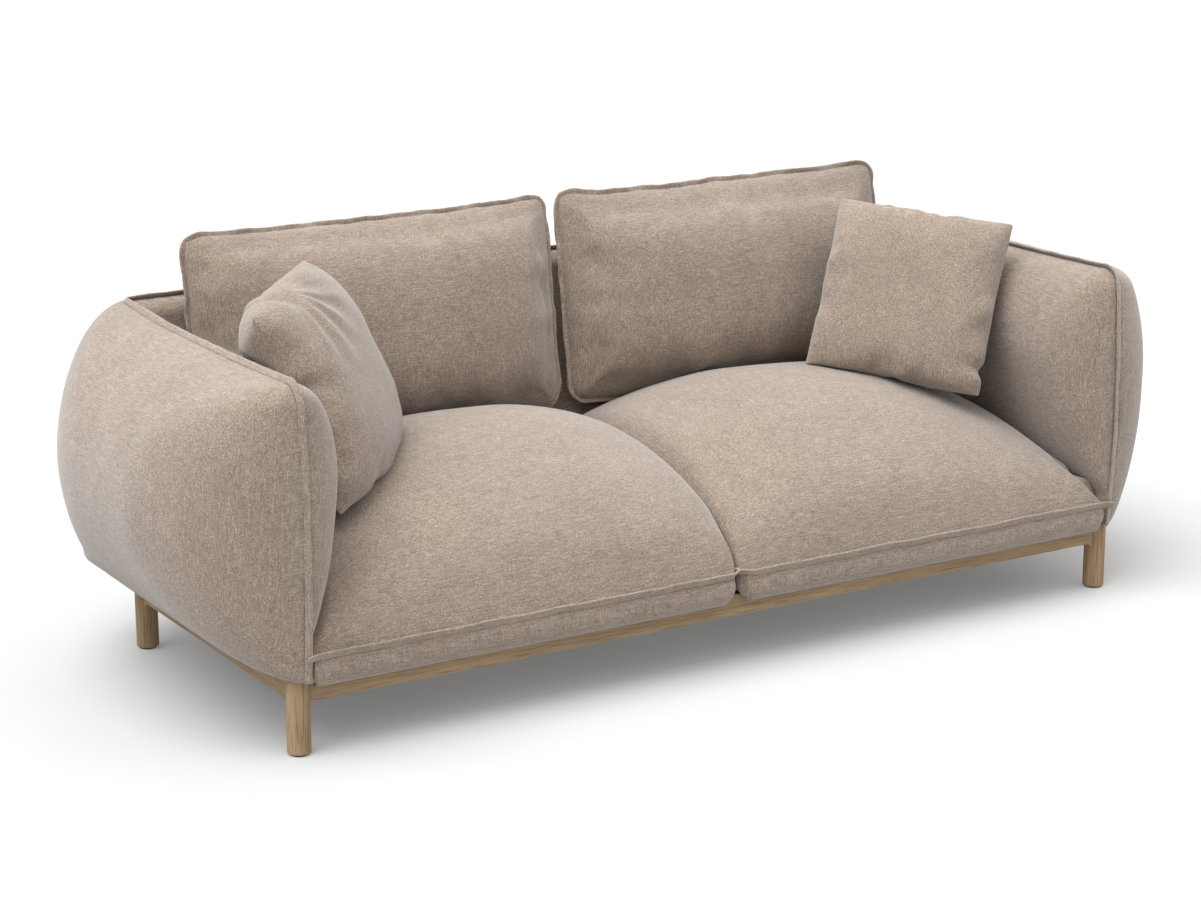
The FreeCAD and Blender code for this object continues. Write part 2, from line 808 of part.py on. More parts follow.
def seat_front_view(side):
    """Seen from the front: tall where the two meet, lower along the arm."""
    middle = "seat_gap"
    points = [
        (middle, "seat_low"),
        ("seat_reach", "seat_low"),
        ("seat_reach", "seat_arm_top", "seat_arm_arc"),
        ("seat_reach - seat_shoulder", "seat_shoulder_top", "seat_shoulder_arc"),
        ("seat_crown_side", "seat_crown", "seat_middle_arc"),
        (middle, "seat_middle_top"),
    ]
    if side > 0:
        return points
    mirrored = []
    for index in range(len(points)):
        x, z = points[-index - 1][:2]
        edge = points[(-index - 2) % len(points)]
        mirrored.append((signed(-1, x), z) + tuple(edge[2:]))
    return mirrored


def seat_plan(side):
    """Seen from above: rounded front corners."""
    low, high = ("seat_gap", "seat_reach") if side > 0 else ("- seat_reach", "- seat_gap")
    return [
        (low + " + seat_corner", "- seat_front"),
        (high + " - seat_corner", "- seat_front", "seat_corner"),
        (high, "- seat_front + seat_corner"),
        (high, "seat_rear"),
        (low, "seat_rear"),
        (low, "- seat_front + seat_corner", "seat_corner"),
    ]


for side in (-1, 1):
    name = side_name(side)
    side_block = extrude("seat_side_view_" + name, "YZ_Plane", seat_side_view,
                         "seat_reach + seat_reach", "- seat_reach")
    front_block = extrude("seat_front_view_" + name, "XZ_Plane", seat_front_view(side),
                          "seat_front + seat_rear + beyond * 2", "- seat_rear - beyond")
    plan_block = extrude("seat_plan_" + name, "XY_Plane", seat_plan(side), "zone_height")
    whole = common("seat_whole_" + name, [side_block, front_block, plan_block])
    keep(cut("seat_cut_" + name, whole, [seat_room]), "seat_cushion_" + name)


# ---------------------------------------------------------------- loose cushions

def rounded_rectangle(half_width, half_height, inset, corner):
    low_x = f"- {half_width} + {inset}"
    high_x = f"{half_width} - {inset}"
    low_y = f"- {half_height} + {inset}"
    high_y = f"{half_height} - {inset}"
    return [
        (low_x + " + " + corner, low_y),
        (high_x + " - " + corner, low_y, corner),
        (high_x, low_y + " + " + corner),
        (high_x, high_y + " - " + corner, corner),
        (high_x + " - " + corner, high_y),
        (low_x + " + " + corner, high_y, corner),
        (low_x, high_y + " - " + corner),
        (low_x, low_y + " + " + corner, corner),
    ]


def cushion(name, half_width, half_height, front, rear, corner, taper_by):
    """A crowned cushion lofted through its thickness; its seam lies in the XZ plane."""
    front_inset, rear_inset = taper_by
    levels = []
    for angle in CUSHION_ANGLES:
        lift, reach = swell(angle)
        depth = rear if lift < 0 else front
        inset = rear_inset if lift < 0 else front_inset
        taper = f"{inset * (1 - reach):.3f}"
        outline_points = rounded_rectangle(half_width, half_height, taper, corner)
        levels.append((f"{depth} * {lift:.4f}", outline_points))
    return loft(name, "XZ_Plane", levels)


for side in (-1, 1):
    name = side_name(side)
    back = cushion("back_cushion_loft_" + name, "back_half_width", "back_half_height",
                   "back_front_depth", "back_rear_depth", "back_corner", BACK_TAPER)
    lean = FreeCAD.Rotation(FreeCAD.Vector(1, 0, 0), -RECLINE)
    back.Placement = FreeCAD.Placement(FreeCAD.Vector(0, 0, 0), lean)
    lift_y = math.sin(math.radians(RECLINE))
    lift_z = math.cos(math.radians(RECLINE))
    centre_z = f"back_foot_level + back_half_height * {lift_z:.5f}"
    recline = math.tan(math.radians(RECLINE))
    face = f"backrest_foot + back_foot_level * {recline:.5f} - inner_low * {recline:.5f}"
    centre_y = f"{face} + back_half_height * {lift_y:.5f} - back_rear_depth * back_press"
    place(back, signed(side, "back_centre_x"), centre_y, centre_z)
    keep(back, "back_cushion_" + name)

# x, y and z of each throw pillow's middle, then its turn about the vertical, its lean
# back and its roll in its own plane, in degrees.
PILLOWS = {
    "left": ((-692, -86, 631), 46, 26, -3),
    "right": ((668, -104, 617), -45, 26, 6),
}
for name, (middle, yaw, lean, roll) in PILLOWS.items():
    pillow = cushion("pillow_loft_" + name, "pillow_half", "pillow_half", "pillow_depth",
                     "pillow_depth", "pillow_corner", PILLOW_TAPER)
    turn = FreeCAD.Rotation(FreeCAD.Vector(0, 0, 1), yaw)
    turn = turn * FreeCAD.Rotation(FreeCAD.Vector(1, 0, 0), -lean)
    turn = turn * FreeCAD.Rotation(FreeCAD.Vector(0, 1, 0), roll)
    pillow.Placement = FreeCAD.Placement(FreeCAD.Vector(*middle), turn)
    keep(pillow, "throw_pillow_" + name)

# ---------------------------------------------------------------- checks and files

doc.recompute()
for item in doc.Objects:
    if "Invalid" in item.State or "Error" in item.State:
        raise RuntimeError(f"{item.Name} failed to recompute: {item.State}")
for item in nodes:
    if item.Shape.isNull() or not item.Shape.isValid() or not item.Shape.Solids:
        raise RuntimeError(f"{item.Label} has no valid solid")

os.makedirs("parts", exist_ok=True)
for item in nodes:
    item.Shape.exportStep(f"parts/{item.Label}.step")
print(len(nodes), "sub-parts written")
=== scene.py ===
import math

import bmesh
import bpy
import numpy as np
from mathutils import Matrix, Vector, noise


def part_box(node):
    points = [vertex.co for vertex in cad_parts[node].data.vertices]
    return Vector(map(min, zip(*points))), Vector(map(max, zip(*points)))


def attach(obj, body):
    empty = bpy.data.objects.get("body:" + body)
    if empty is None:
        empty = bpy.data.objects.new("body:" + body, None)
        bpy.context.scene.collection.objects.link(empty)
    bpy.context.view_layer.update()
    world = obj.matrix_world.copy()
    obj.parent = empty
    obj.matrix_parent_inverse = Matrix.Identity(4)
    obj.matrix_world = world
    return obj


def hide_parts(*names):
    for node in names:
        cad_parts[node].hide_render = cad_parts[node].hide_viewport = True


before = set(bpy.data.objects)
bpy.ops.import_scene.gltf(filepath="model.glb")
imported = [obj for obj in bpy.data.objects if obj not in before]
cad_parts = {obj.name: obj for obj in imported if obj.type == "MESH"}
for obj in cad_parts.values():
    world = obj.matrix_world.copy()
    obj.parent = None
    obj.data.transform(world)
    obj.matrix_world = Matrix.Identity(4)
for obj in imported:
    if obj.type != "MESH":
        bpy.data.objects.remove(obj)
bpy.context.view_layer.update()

# A sofa with loose cushions on an oak plinth. Metres, Z up, the front faces -Y.
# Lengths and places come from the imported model; shapes and finishes are made here.

scene = bpy.context.scene
SIDE_NAME = {-1: "left", 1: "right"}
RECLINE = 8.8


def span(node):
    """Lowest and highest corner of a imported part, as arrays."""
    low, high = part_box(node)
    return np.array(low), np.array(high)


# ------------------------------------------------------------ sizes from the frame

OUTER_LOW, OUTER_HIGH = span("arm_outer_pad_right")
INNER_LOW, INNER_HIGH = span("arm_inner_pad_right")
BACK_LOW, BACK_HIGH = span("back_inner_pad")
SHELL_REAR = span("back_outer_pad")[1][1]
PLINTH_TOP = span("rail_front")[1][2]
DECK_TOP = span("deck_cloth")[1][2]
DECK_FRONT = span("deck_rail_front")[0][1]

SEAM_X = INNER_HIGH[0]
SEAM_Y = BACK_HIGH[1]
NOSE_Y = OUTER_LOW[1]
ARM_BULGE = OUTER_HIGH[0] - SEAM_X
BACK_BULGE = SHELL_REAR - SEAM_Y
INNER_BULGE = SEAM_X - INNER_LOW[0]
PAD_LOW = PLINTH_TOP + 0.0005
PAD_HIGH = OUTER_HIGH[2] - 0.002
PAD_MIDDLE = (PAD_LOW + PAD_HIGH) / 2
WELT = 0.012
WELT_THICK = 0.0042


# ------------------------------------------------------------ mesh helpers

def new_object(name, vertices, faces, smooth=True):
    mesh = bpy.data.meshes.new(name)
    mesh.from_pydata([tuple(point) for point in vertices], [], [tuple(face) for face in faces])
    mesh.validate()
    mesh.update()
    item = bpy.data.objects.new(name, mesh)
    scene.collection.objects.link(item)
    tidy(item, smooth)
    return item


WELD = 1e-5


def tidy(item, smooth=True):
    """Weld doubled points, drop empty faces and face everything outwards."""
    work = bmesh.new()
    work.from_mesh(item.data)
    bmesh.ops.remove_doubles(work, verts=work.verts, dist=WELD)
    bmesh.ops.dissolve_degenerate(work, edges=work.edges, dist=WELD)
    bmesh.ops.recalc_face_normals(work, faces=work.faces)
    work.to_mesh(item.data)
    work.free()
    for face in item.data.polygons:
        face.use_smooth = smooth


def grid_faces(rows, columns, wrap_rows=False, wrap_columns=False):
    """Four-sided faces over a grid of points listed row by row."""
    faces = []
    for row in range(rows if wrap_rows else rows - 1):
        below = row * columns
        above = ((row + 1) % rows) * columns
        for column in range(columns if wrap_columns else columns - 1):
            after = (column + 1) % columns
            faces.append((below + column, below + after, above + after, above + column))
    return faces


def wave(position, scale, seed=0.0):
    """Smooth noise from -1 to 1 at a point, with features about scale long."""
    return noise.noise(Vector(position) / scale + Vector((seed, seed * 0.7, -seed)))


def wave_1d(distance, scale, seed):
    return noise.noise(Vector((distance / scale, seed * 3.7, seed * 1.3)))


def smooth_step(value, low, high):
    share = min(max((value - low) / (high - low), 0.0), 1.0)
    return share * share * (3 - 2 * share)


def points_of(item):
    count = len(item.data.vertices)
    flat = np.empty(count * 3)
    item.data.vertices.foreach_get("co", flat)
    return flat.reshape(count, 3)


def set_points(item, points):
    item.data.vertices.foreach_set("co", np.asarray(points, dtype=float).ravel())
    item.data.update()


def ribbon(name, stations, thick, closed=False):
    """A flat sewn flange with rounded edges, swept along the seam it is sewn into.

    A station is a point of the seam, the flange's direction, its normal and its width.
    The cross-section starts at the seam and has a stitched dent near it.
    """
    corner_steps, face_steps = 4, 5
    radius = thick * 0.46
    stitch_place, stitch_width, stitch_depth = 0.0035, 0.0016, 0.26 * thick

    def section(width):
        outline = []
        for step in range(corner_steps + 1):
            angle = math.radians(-90 + 180 * step / corner_steps)
            outline.append((width - radius + radius * math.cos(angle),
                            thick / 2 * math.sin(angle)))
        for step in range(1, face_steps):
            share = 1 - step / face_steps
            off = (share * width - stitch_place) / stitch_width
            dent = stitch_depth * math.exp(-off**2)
            outline.append((share * (width - radius), thick / 2 - dent))
        outline.append((-radius, thick * 0.3))
        outline.append((-radius, -thick * 0.3))
        for step in range(1, face_steps):
            share = step / face_steps
            outline.append((share * (width - radius), -thick / 2))
        return outline

    vertices = []
    for root, wide, thin, width in stations:
        for along, high in section(width):
            vertices.append(root + wide * along + thin * high)
    rows, columns = len(stations), len(section(WELT))
    faces = grid_faces(rows, columns, wrap_rows=closed, wrap_columns=True)
    if not closed:
        faces.append(tuple(range(columns)))
        faces.append(tuple(range((rows - 1) * columns, rows * columns)))
    return new_object(name, vertices, faces)


# ------------------------------------------------------------ materials

def shader_tree(name):
    material = bpy.data.materials.new(name)
    material.use_nodes = True
    tree = material.node_tree
    return material, tree, tree.nodes["Principled BSDF"]


def link(tree, source, target):
    tree.links.new(source, target)


def feed(tree, value, socket):
    """Set a socket to a number or join it to another node."""
    if isinstance(value, (int, float)):
        socket.default_value = value
    else:
        link(tree, value, socket)


def set_inputs(node, values):
    for name, value in values.items():
        node.inputs[name].default_value = value


def noise_node(tree, stretch, scale, detail, roughness):
    """Noise in object space, squeezed by stretch along each axis."""
    place = tree.nodes.new("ShaderNodeTexCoord")
    mapping = tree.nodes.new("ShaderNodeMapping")
    mapping.inputs["Scale"].default_value = stretch
    link(tree, place.outputs["Object"], mapping.inputs["Vector"])
    node = tree.nodes.new("ShaderNodeTexNoise")
    set_inputs(node, {"Scale": scale, "Detail": detail, "Roughness": roughness})
    link(tree, mapping.outputs["Vector"], node.inputs["Vector"])
    return node.outputs["Fac"]


def ramp_node(tree, value, stops):
    node = tree.nodes.new("ShaderNodeValToRGB")
    ramp = node.color_ramp
    while len(ramp.elements) < len(stops):
        ramp.elements.new(0.5)
    for element, (position, colour) in zip(ramp.elements, stops):
        element.position = position
        element.color = (*colour, 1.0)
    link(tree, value, node.inputs["Fac"])
    return node.outputs["Color"]


def math_node(tree, operation, first, second):
    node = tree.nodes.new("ShaderNodeMath")
    node.operation = operation
    feed(tree, first, node.inputs[0])
    feed(tree, second, node.inputs[1])
    return node.outputs["Value"]


def multiply_colours(tree, factor, first, second):
    node = tree.nodes.new("ShaderNodeMix")
    node.data_type = "RGBA"
    node.blend_type = "MULTIPLY"
    node.inputs["Factor"].default_value = factor
    link(tree, first, node.inputs[6])
    link(tree, second, node.inputs[7])
    return node.outputs[2]


def bump(tree, shader, height, strength, distance):
    node = tree.nodes.new("ShaderNodeBump")
    set_inputs(node, {"Strength": strength, "Distance": distance})
    link(tree, height, node.inputs["Height"])
    link(tree, node.outputs["Normal"], shader.inputs["Normal"])


EVEN = (1.0, 1.0, 1.0)
# cycles per metre across and along the threads of each layer, and a shift that sets it apart
WEAVES = ((540.0, 34.0, 0.0), (1100.0, 90.0, 3.0))
FABRIC_TONES = ((0.106, 0.075, 0.052), (0.216, 0.163, 0.122), (0.402, 0.328, 0.268))


def chenille(name, tint=1.0):
    """Soft mottled weave: crossed slubs, fine yarn and a fuzzy sheen."""
    material, tree, shader = shader_tree(name)
    threads = []
    for long_axis in range(3):
        for fine, long, seed in WEAVES:
            stretch = [fine + seed, fine - seed, fine + 2 * seed]
            stretch[long_axis] = long
            threads.append(noise_node(tree, stretch, 1.0, 1.0, 0.6))
    slubs = threads[0]
    for thread in threads[1:]:
        slubs = math_node(tree, "ADD", slubs, thread)
    slubs = math_node(tree, "MULTIPLY", slubs, 1 / len(threads))
    yarn = noise_node(tree, EVEN, 1000.0, 1.0, 0.6)
    patch = noise_node(tree, EVEN, 38.0, 3.0, 0.6)
    cloud = noise_node(tree, EVEN, 7.0, 3.0, 0.55)
    mottle = math_node(tree, "ADD", math_node(tree, "MULTIPLY", slubs, 0.74),
                       math_node(tree, "MULTIPLY", yarn, 0.26))
    dark, middle, pale = (tuple(channel * tint for channel in tone) for tone in FABRIC_TONES)
    weave = ramp_node(tree, mottle, [(0.415, dark), (0.498, middle), (0.590, pale)])
    worn = ramp_node(tree, cloud, [(0.30, (0.93, 0.93, 0.93)), (0.72, (1.05, 1.05, 1.05))])
    drift = ramp_node(tree, patch, [(0.30, (0.93, 0.92, 0.92)), (0.70, (1.06, 1.06, 1.06))])
    colour = multiply_colours(tree, 1.0, weave, worn)
    colour = multiply_colours(tree, 1.0, colour, drift)
    link(tree, colour, shader.inputs["Base Color"])
    set_inputs(shader, {"Roughness": 0.95, "Specular IOR Level": 0.12, "Sheen Weight": 0.34,
                        "Sheen Roughness": 0.60, "Sheen Tint": (0.95, 0.98, 1.0, 1.0)})
    bump(tree, shader, mottle, 0.5, 0.0020)
    return material


def oak(name, grain_axis):
    """Matt oiled oak with fine pores and long figure along grain_axis (0, 1 or 2)."""
    material, tree, shader = shader_tree(name)
    stretch = [14.0, 14.0, 14.0]
    stretch[grain_axis] = 0.9
    figure = noise_node(tree, stretch, 3.2, 5.0, 0.62)
    fine = [430.0, 430.0, 430.0]
    fine[grain_axis] = 12.0
    pores = noise_node(tree, fine, 1.0, 3.0, 0.65)
    tone = ramp_node(tree, figure, [(0.25, (0.225, 0.146, 0.076)), (0.5, (0.300, 0.205, 0.115)),
                                    (0.78, (0.385, 0.275, 0.165))])
    shade = ramp_node(tree, pores, [(0.36, (0.52, 0.46, 0.40)), (0.52, (1.0, 1.0, 1.0))])
    link(tree, multiply_colours(tree, 0.75, tone, shade), shader.inputs["Base Color"])
    set_inputs(shader, {"Roughness": 0.62, "Specular IOR Level": 0.3})
    bump(tree, shader, pores, 0.25, 0.0008)
    return material


def timber(name, colour, grain_axis):
    """Plain sawn or planed construction wood."""
    material, tree, shader = shader_tree(name)
    stretch = [90.0, 90.0, 90.0]
    stretch[grain_axis] = 3.0
    grain = noise_node(tree, stretch, 1.0, 4.0, 0.6)
    dark = tuple(channel * 0.72 for channel in colour)
    link(tree, ramp_node(tree, grain, [(0.32, dark), (0.62, colour)]), shader.inputs["Base Color"])
    set_inputs(shader, {"Roughness": 0.78})
    bump(tree, shader, grain, 0.3, 0.001)
    return material


def speckled(name, colour, roughness, scale, metallic=0.0):
    """Plastic, metal, strap or lining: one tone with a fine grain."""
    material, tree, shader = shader_tree(name)
    grain = noise_node(tree, EVEN, scale, 3.0, 0.6)
    dark = tuple(channel * 0.7 for channel in colour)
    link(tree, ramp_node(tree, grain, [(0.35, dark), (0.65, colour)]), shader.inputs["Base Color"])
    set_inputs(shader, {"Roughness": roughness, "Metallic": metallic})
    bump(tree, shader, grain, 0.3, 0.0006)
    return material


FABRIC = chenille("fabric_chenille")
# the welts and flanges get the same chenille made 6% lighter: a painted highlight for their raised
# edges
FABRIC_WELT_PAINTED_LIGHT = chenille("fabric_welt_painted_highlight", 1.06)
OAK = {axis: oak(f"oak_grain_{'xyz'[axis]}", axis) for axis in range(3)}
BEECH = {axis: timber(f"beech_grain_{'xyz'[axis]}", (0.56, 0.40, 0.26), axis) for axis in range(3)}
PINE = {axis: timber(f"pine_grain_{'xyz'[axis]}", (0.66, 0.49, 0.29), axis) for axis in range(3)}
GLIDE = speckled("glide_plastic", (0.045, 0.042, 0.040), 0.6, 700.0)
ZINC = speckled("zinc_steel", (0.55, 0.55, 0.53), 0.36, 500.0, 0.9)
STRAP = speckled("webbing_strap", (0.09, 0.08, 0.07), 0.85, 1100.0)
LINING = speckled("nonwoven_lining", (0.035, 0.034, 0.033), 0.92, 650.0)


# the first start of a part's name that fits gives its finish; timber runs along its length
FINISHES = (("rail_dowels", BEECH), ("corner_blocks", BEECH), ("bearer_", BEECH),
            ("leg_", OAK), ("rail_", OAK), ("glide_", GLIDE), ("corner_bolts", ZINC),
            ("deck_screws", ZINC), ("frame_bolts", ZINC), ("seat_webbing", STRAP),
            ("back_webbing", STRAP), ("dust_cover", LINING), ("deck_cloth", LINING))


def finish_frame():
    """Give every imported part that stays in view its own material."""
    for name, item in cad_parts.items():
        low, high = span(name)
        soft = any(word in name for word in ("pad", "cushion", "pillow"))
        fitting = [finish for start, finish in FINISHES if name.startswith(start)]
        finish = (fitting + [FABRIC if soft else PINE])[0]
        if isinstance(finish, dict):
            finish = finish[int(np.argmax(high - low))]
        item.data.materials.clear()
        item.data.materials.append(finish)


finish_frame()


def upholster(item, body, nodes=(), material=None):
    """Give an item its fabric and body, and hide the parts it stands for."""
    item.data.materials.clear()
    item.data.materials.append(material or FABRIC)
    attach(item, body)
    if nodes:
        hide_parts(*nodes)
    return item


# ------------------------------------------------------------ shell

FULL_REACH = 1.10
NOSE_DEPTH = {-1: 1.30, 1: 1.75}
CORNER_ROUND = 2.0
FRAME_LOW = span("back_bottom_rail")[0][2]
FOOT_FULLNESS, FOOT_RISE = 0.70, 0.10
SHELL_MIDDLE = 0.435
FULLNESS_ABOVE, FULLNESS_BELOW = 2.05, 1.78
TOP_CORNER = 0.040           # radius at the top of each nose seam
BACK_RISE = 0.006            # the back's seam stands this much above the arms'
MITRE_TURN = 0.016           # radius of the seam where arm and back meet
NOSE_STEPS, FLANK_STEPS, CORNER_STEPS, BACK_STEPS = 26, 80, 36, 150


def swell(angle):
    """Height and fullness, both from 0 to 1 in size, round the skin's cross-section."""
    power = 2 / (FULLNESS_ABOVE if angle > 0 else FULLNESS_BELOW)
    lift = math.sin(angle)
    return math.copysign(abs(lift) ** power, lift), max(math.cos(angle), 0.0) ** power


def front_line(z):
    """Depth of the nose seam at a height: nearly upright, with a rounded top corner."""
    middle, half, sweep = 0.400, 0.258, 0.013
    depth = NOSE_Y + sweep * ((z - middle) / half) ** 2
    above = (z - (PAD_HIGH - TOP_CORNER)) / TOP_CORNER
    if above > 0:
        depth += TOP_CORNER * (1 - math.sqrt(max(1 - min(above, 1.0) ** 2, 0.0)))
    return depth


def top_rise(x, y):
    """The top edge dips a little along each arm and stands a little higher at the back."""
    along_arm = (y - NOSE_Y) / (SEAM_Y - NOSE_Y)
    dip = -0.006 * math.sin(math.pi * min(max(along_arm, 0.0), 1.0)) * (abs(x) > SEAM_X - 0.2)
    return dip + BACK_RISE * smooth_step(along_arm, 0.75, 1.0)


def half_outline(side, reach, z):
    """Half of the shell's plan at one height, drawn on the right from nose to middle back.

    Gives (x, y, distance along the seam) for each point. Low down, the back is fuller and
    the corner tighter, so that the skin stays outside the timber of the arm and back.
    """
    bulge = ARM_BULGE * FULL_REACH * reach
    nose = bulge * NOSE_DEPTH[side]
    above_frame = smooth_step(z, FRAME_LOW, FRAME_LOW + FOOT_RISE)
    corner = bulge * (1 + (CORNER_ROUND - 1) * above_frame)
    front = front_line(z)
    back = SEAM_Y + BACK_BULGE * reach ** (FOOT_FULLNESS if z < SHELL_MIDDLE else 1.0)
    points = []
    for step in range(NOSE_STEPS):
        turn = math.radians(90 * step / NOSE_STEPS)
        points.append((SEAM_X + bulge * math.sin(turn), front + nose * (1 - math.cos(turn)), 0.0))
    start, end = front + nose, back - corner
    for step in range(FLANK_STEPS):
        share = step / FLANK_STEPS
        points.append((SEAM_X + bulge, start + (end - start) * share, 0.05 + share * 0.75))
    for step in range(CORNER_STEPS):
        turn = math.radians(90 * step / CORNER_STEPS)
        points.append((SEAM_X + bulge - corner * (1 - math.cos(turn)),
                       end + corner * math.sin(turn), 0.80 + 0.03 * step / CORNER_STEPS))
    start = SEAM_X + bulge - corner
    for step in range(BACK_STEPS + 1):
        share = step / BACK_STEPS
        points.append((start * (1 - share), back, 0.83 + share * 0.92))
    return points


def make_outer_shell():
    """One fabric skin round both arms and the back, closed along the frame plane."""
    rows = []
    angles = np.concatenate([np.linspace(-89, -60, 10), np.linspace(-57, 60, 38),
                             np.linspace(62, 90, 20)])
    for angle in np.radians(angles):
        lift, reach = swell(angle)
        room = PAD_HIGH - SHELL_MIDDLE if lift > 0 else SHELL_MIDDLE - PAD_LOW
        z = SHELL_MIDDLE + room * lift
        left = [(-x, y, -s) for x, y, s in half_outline(-1, reach, z)[:-1]]
        row = []
        for x, y, s in left + half_outline(1, reach, z)[::-1]:
            height = z + top_rise(x, y) * max(lift, 0.0) ** 2
            row.append((x, y, height, s, reach))
        rows.append(row)
    columns = len(rows[0])
    vertices = []
    for row in rows:
        for x, y, z, s, reach in row:
            near_seam = math.exp(-((PAD_HIGH - z) / 0.035)) if z > PAD_MIDDLE else 0.0
            near_nose = math.exp(-(abs(abs(x) - SEAM_X) + max(y - front_line(z), 0)) / 0.03)
            pucker = wave_1d(s, 0.018, 1.0) + 0.6 * wave_1d(s, 0.045, 2.0)
            ripple = wave_1d(z, 0.03, 3.0 + (x > 0)) * 0.6
            slack = wave((x, y, z), 0.22, 5.0) * 0.0035 + wave((x, y, z), 0.09, 9.0) * 0.0012
            push = 0.0026 * (pucker * near_seam + ripple * near_nose) + slack * reach
            centre = Vector((math.copysign(SEAM_X - 0.10, x), min(max(y, -0.25), 0.15), z))
            away = Vector((x, y, z)) - centre
            away.z = 0
            away = away.normalized() * push * (reach > 0.02)
            vertices.append((x + away.x, y + away.y, z + 0.5 * push * near_seam))
    faces = grid_faces(len(rows), columns)
    last = (len(rows) - 1) * columns
    for column in range(columns - 1):
        faces.append((column, last + column, last + column + 1, column + 1))
    faces.append(tuple(row * columns for row in range(len(rows))))
    faces.append(tuple(row * columns + columns - 1 for row in range(len(rows)))[::-1])
    shell = new_object("shell_outer", vertices, faces)
    return upholster(shell, "frame",
                     ("arm_outer_pad_left", "arm_outer_pad_right", "back_outer_pad"))


ARM_MIDDLE = 0.500
ARM_FOOT = 0.210
PANEL_PAD = 0.0065


def inner_bulge(z):
    """How far the arm's inner face stands in from the seam plane at a height."""
    if z > ARM_MIDDLE:
        share = (z - ARM_MIDDLE) / (PAD_HIGH - ARM_MIDDLE)
        return INNER_BULGE * max(1 - share**2.0, 0.0) ** 0.5
    share = min((ARM_MIDDLE - z) / (ARM_MIDDLE - ARM_FOOT), 1.0)
    return max(INNER_BULGE * (1 - share**1.4) ** (1 / 1.4), PANEL_PAD)


def make_inner_arm(side):
    """The padded inner face of one arm, with its rounded nose."""
    levels = list(np.linspace(PAD_LOW, ARM_FOOT, 8))
    levels += [ARM_FOOT + (ARM_MIDDLE - ARM_FOOT) * math.sin(turn)
               for turn in np.radians(np.linspace(3, 87, 26))]
    levels += [ARM_MIDDLE + (PAD_HIGH - ARM_MIDDLE) * math.sin(turn)
               for turn in np.radians(np.linspace(0, 90, 34))]
    rows = []
    for z in levels:
        bulge = inner_bulge(z)
        front = front_line(z)
        row = []
        for step in range(NOSE_STEPS):
            turn = math.radians(90 * step / NOSE_STEPS)
            row.append((SEAM_X - bulge * math.sin(turn), front + bulge * (1 - math.cos(turn)), z))
        start = front + bulge
        for step in range(FLANK_STEPS + 1):
            share = step / FLANK_STEPS
            row.append((SEAM_X - bulge, start + (SEAM_Y - 0.002 - start) * share, z))
        rows.append(row)
    columns = len(rows[0])
    vertices = []
    for row in rows:
        for x, y, z in row:
            near_seam = math.exp(-(PAD_HIGH - z) / 0.03)
            near_nose = math.exp(-max(y - front_line(z), 0) / 0.03)
            pucker = 0.0024 * (wave_1d(y, 0.026, 4.0 + side) * near_seam
                               + wave_1d(z, 0.030, 6.0 + side) * near_nose)
            slack = wave((x * side, y, z), 0.16, 12.0) * 0.003
            depth = smooth_step(SEAM_X - x, 0.008, 0.05)
            lift = (top_rise(SEAM_X, y) + 0.3 * pucker) * smooth_step(z, ARM_MIDDLE, PAD_HIGH)
            vertices.append((side * (x - (pucker + slack) * depth), y, z + lift))
    faces = grid_faces(len(rows), columns)
    last = (len(rows) - 1) * columns
    border = [row * columns for row in range(len(rows))]
    border += [last + column for column in range(1, columns)]
    border += [row * columns + columns - 1 for row in reversed(range(len(rows) - 1))]
    border += [column for column in reversed(range(1, columns - 1))]
    faces.append(tuple(reversed(border)))
    name = SIDE_NAME[side]
    pad = new_object(f"arm_inner_{name}", vertices, faces)
    return upholster(pad, "frame", (f"arm_inner_pad_{name}",))


def make_inner_back():
    """The reclined inner face of the back, behind the loose cushions."""
    foot_y, foot_z = BACK_LOW[1:]
    recline = math.tan(math.radians(RECLINE))
    profile = [(SEAM_Y - 0.001, foot_z), (foot_y, foot_z)]
    shoulder = PAD_HIGH - 0.03
    for z in np.linspace(foot_z + 0.01, shoulder, 26):
        profile.append((foot_y + (z - foot_z) * recline, z))
    face_top = profile[-1][0]
    for angle in np.radians(np.linspace(8, 90, 14)):
        profile.append((SEAM_Y - (SEAM_Y - face_top) * math.cos(angle),
                        shoulder + (PAD_HIGH + BACK_RISE - shoulder) * math.sin(angle)))
    vertices = []
    reach = SEAM_X - 0.004
    steps = 300
    for step in range(steps + 1):
        x = -reach + 2 * reach * step / steps
        for y, z in profile:
            near_seam = math.exp(-(PAD_HIGH - z) / 0.03) if z > 0.4 else 0.0
            pucker = wave_1d(x, 0.02, 7.0) * near_seam * 0.0018 * (y < SEAM_Y - 0.003)
            slack = wave((x, y, z), 0.2, 3.0) * 0.002 * (foot_y < y < SEAM_Y - 0.003)
            vertices.append((x, y - pucker - slack, z + pucker * 0.4))
    columns = len(profile)
    faces = grid_faces(steps + 1, columns, wrap_columns=True)
    faces.append(tuple(range(columns)))
    faces.append(tuple(range(steps * columns, (steps + 1) * columns)))
    pad = new_object("back_inner", vertices, faces)
    return upholster(pad, "frame", ("back_inner_pad",))


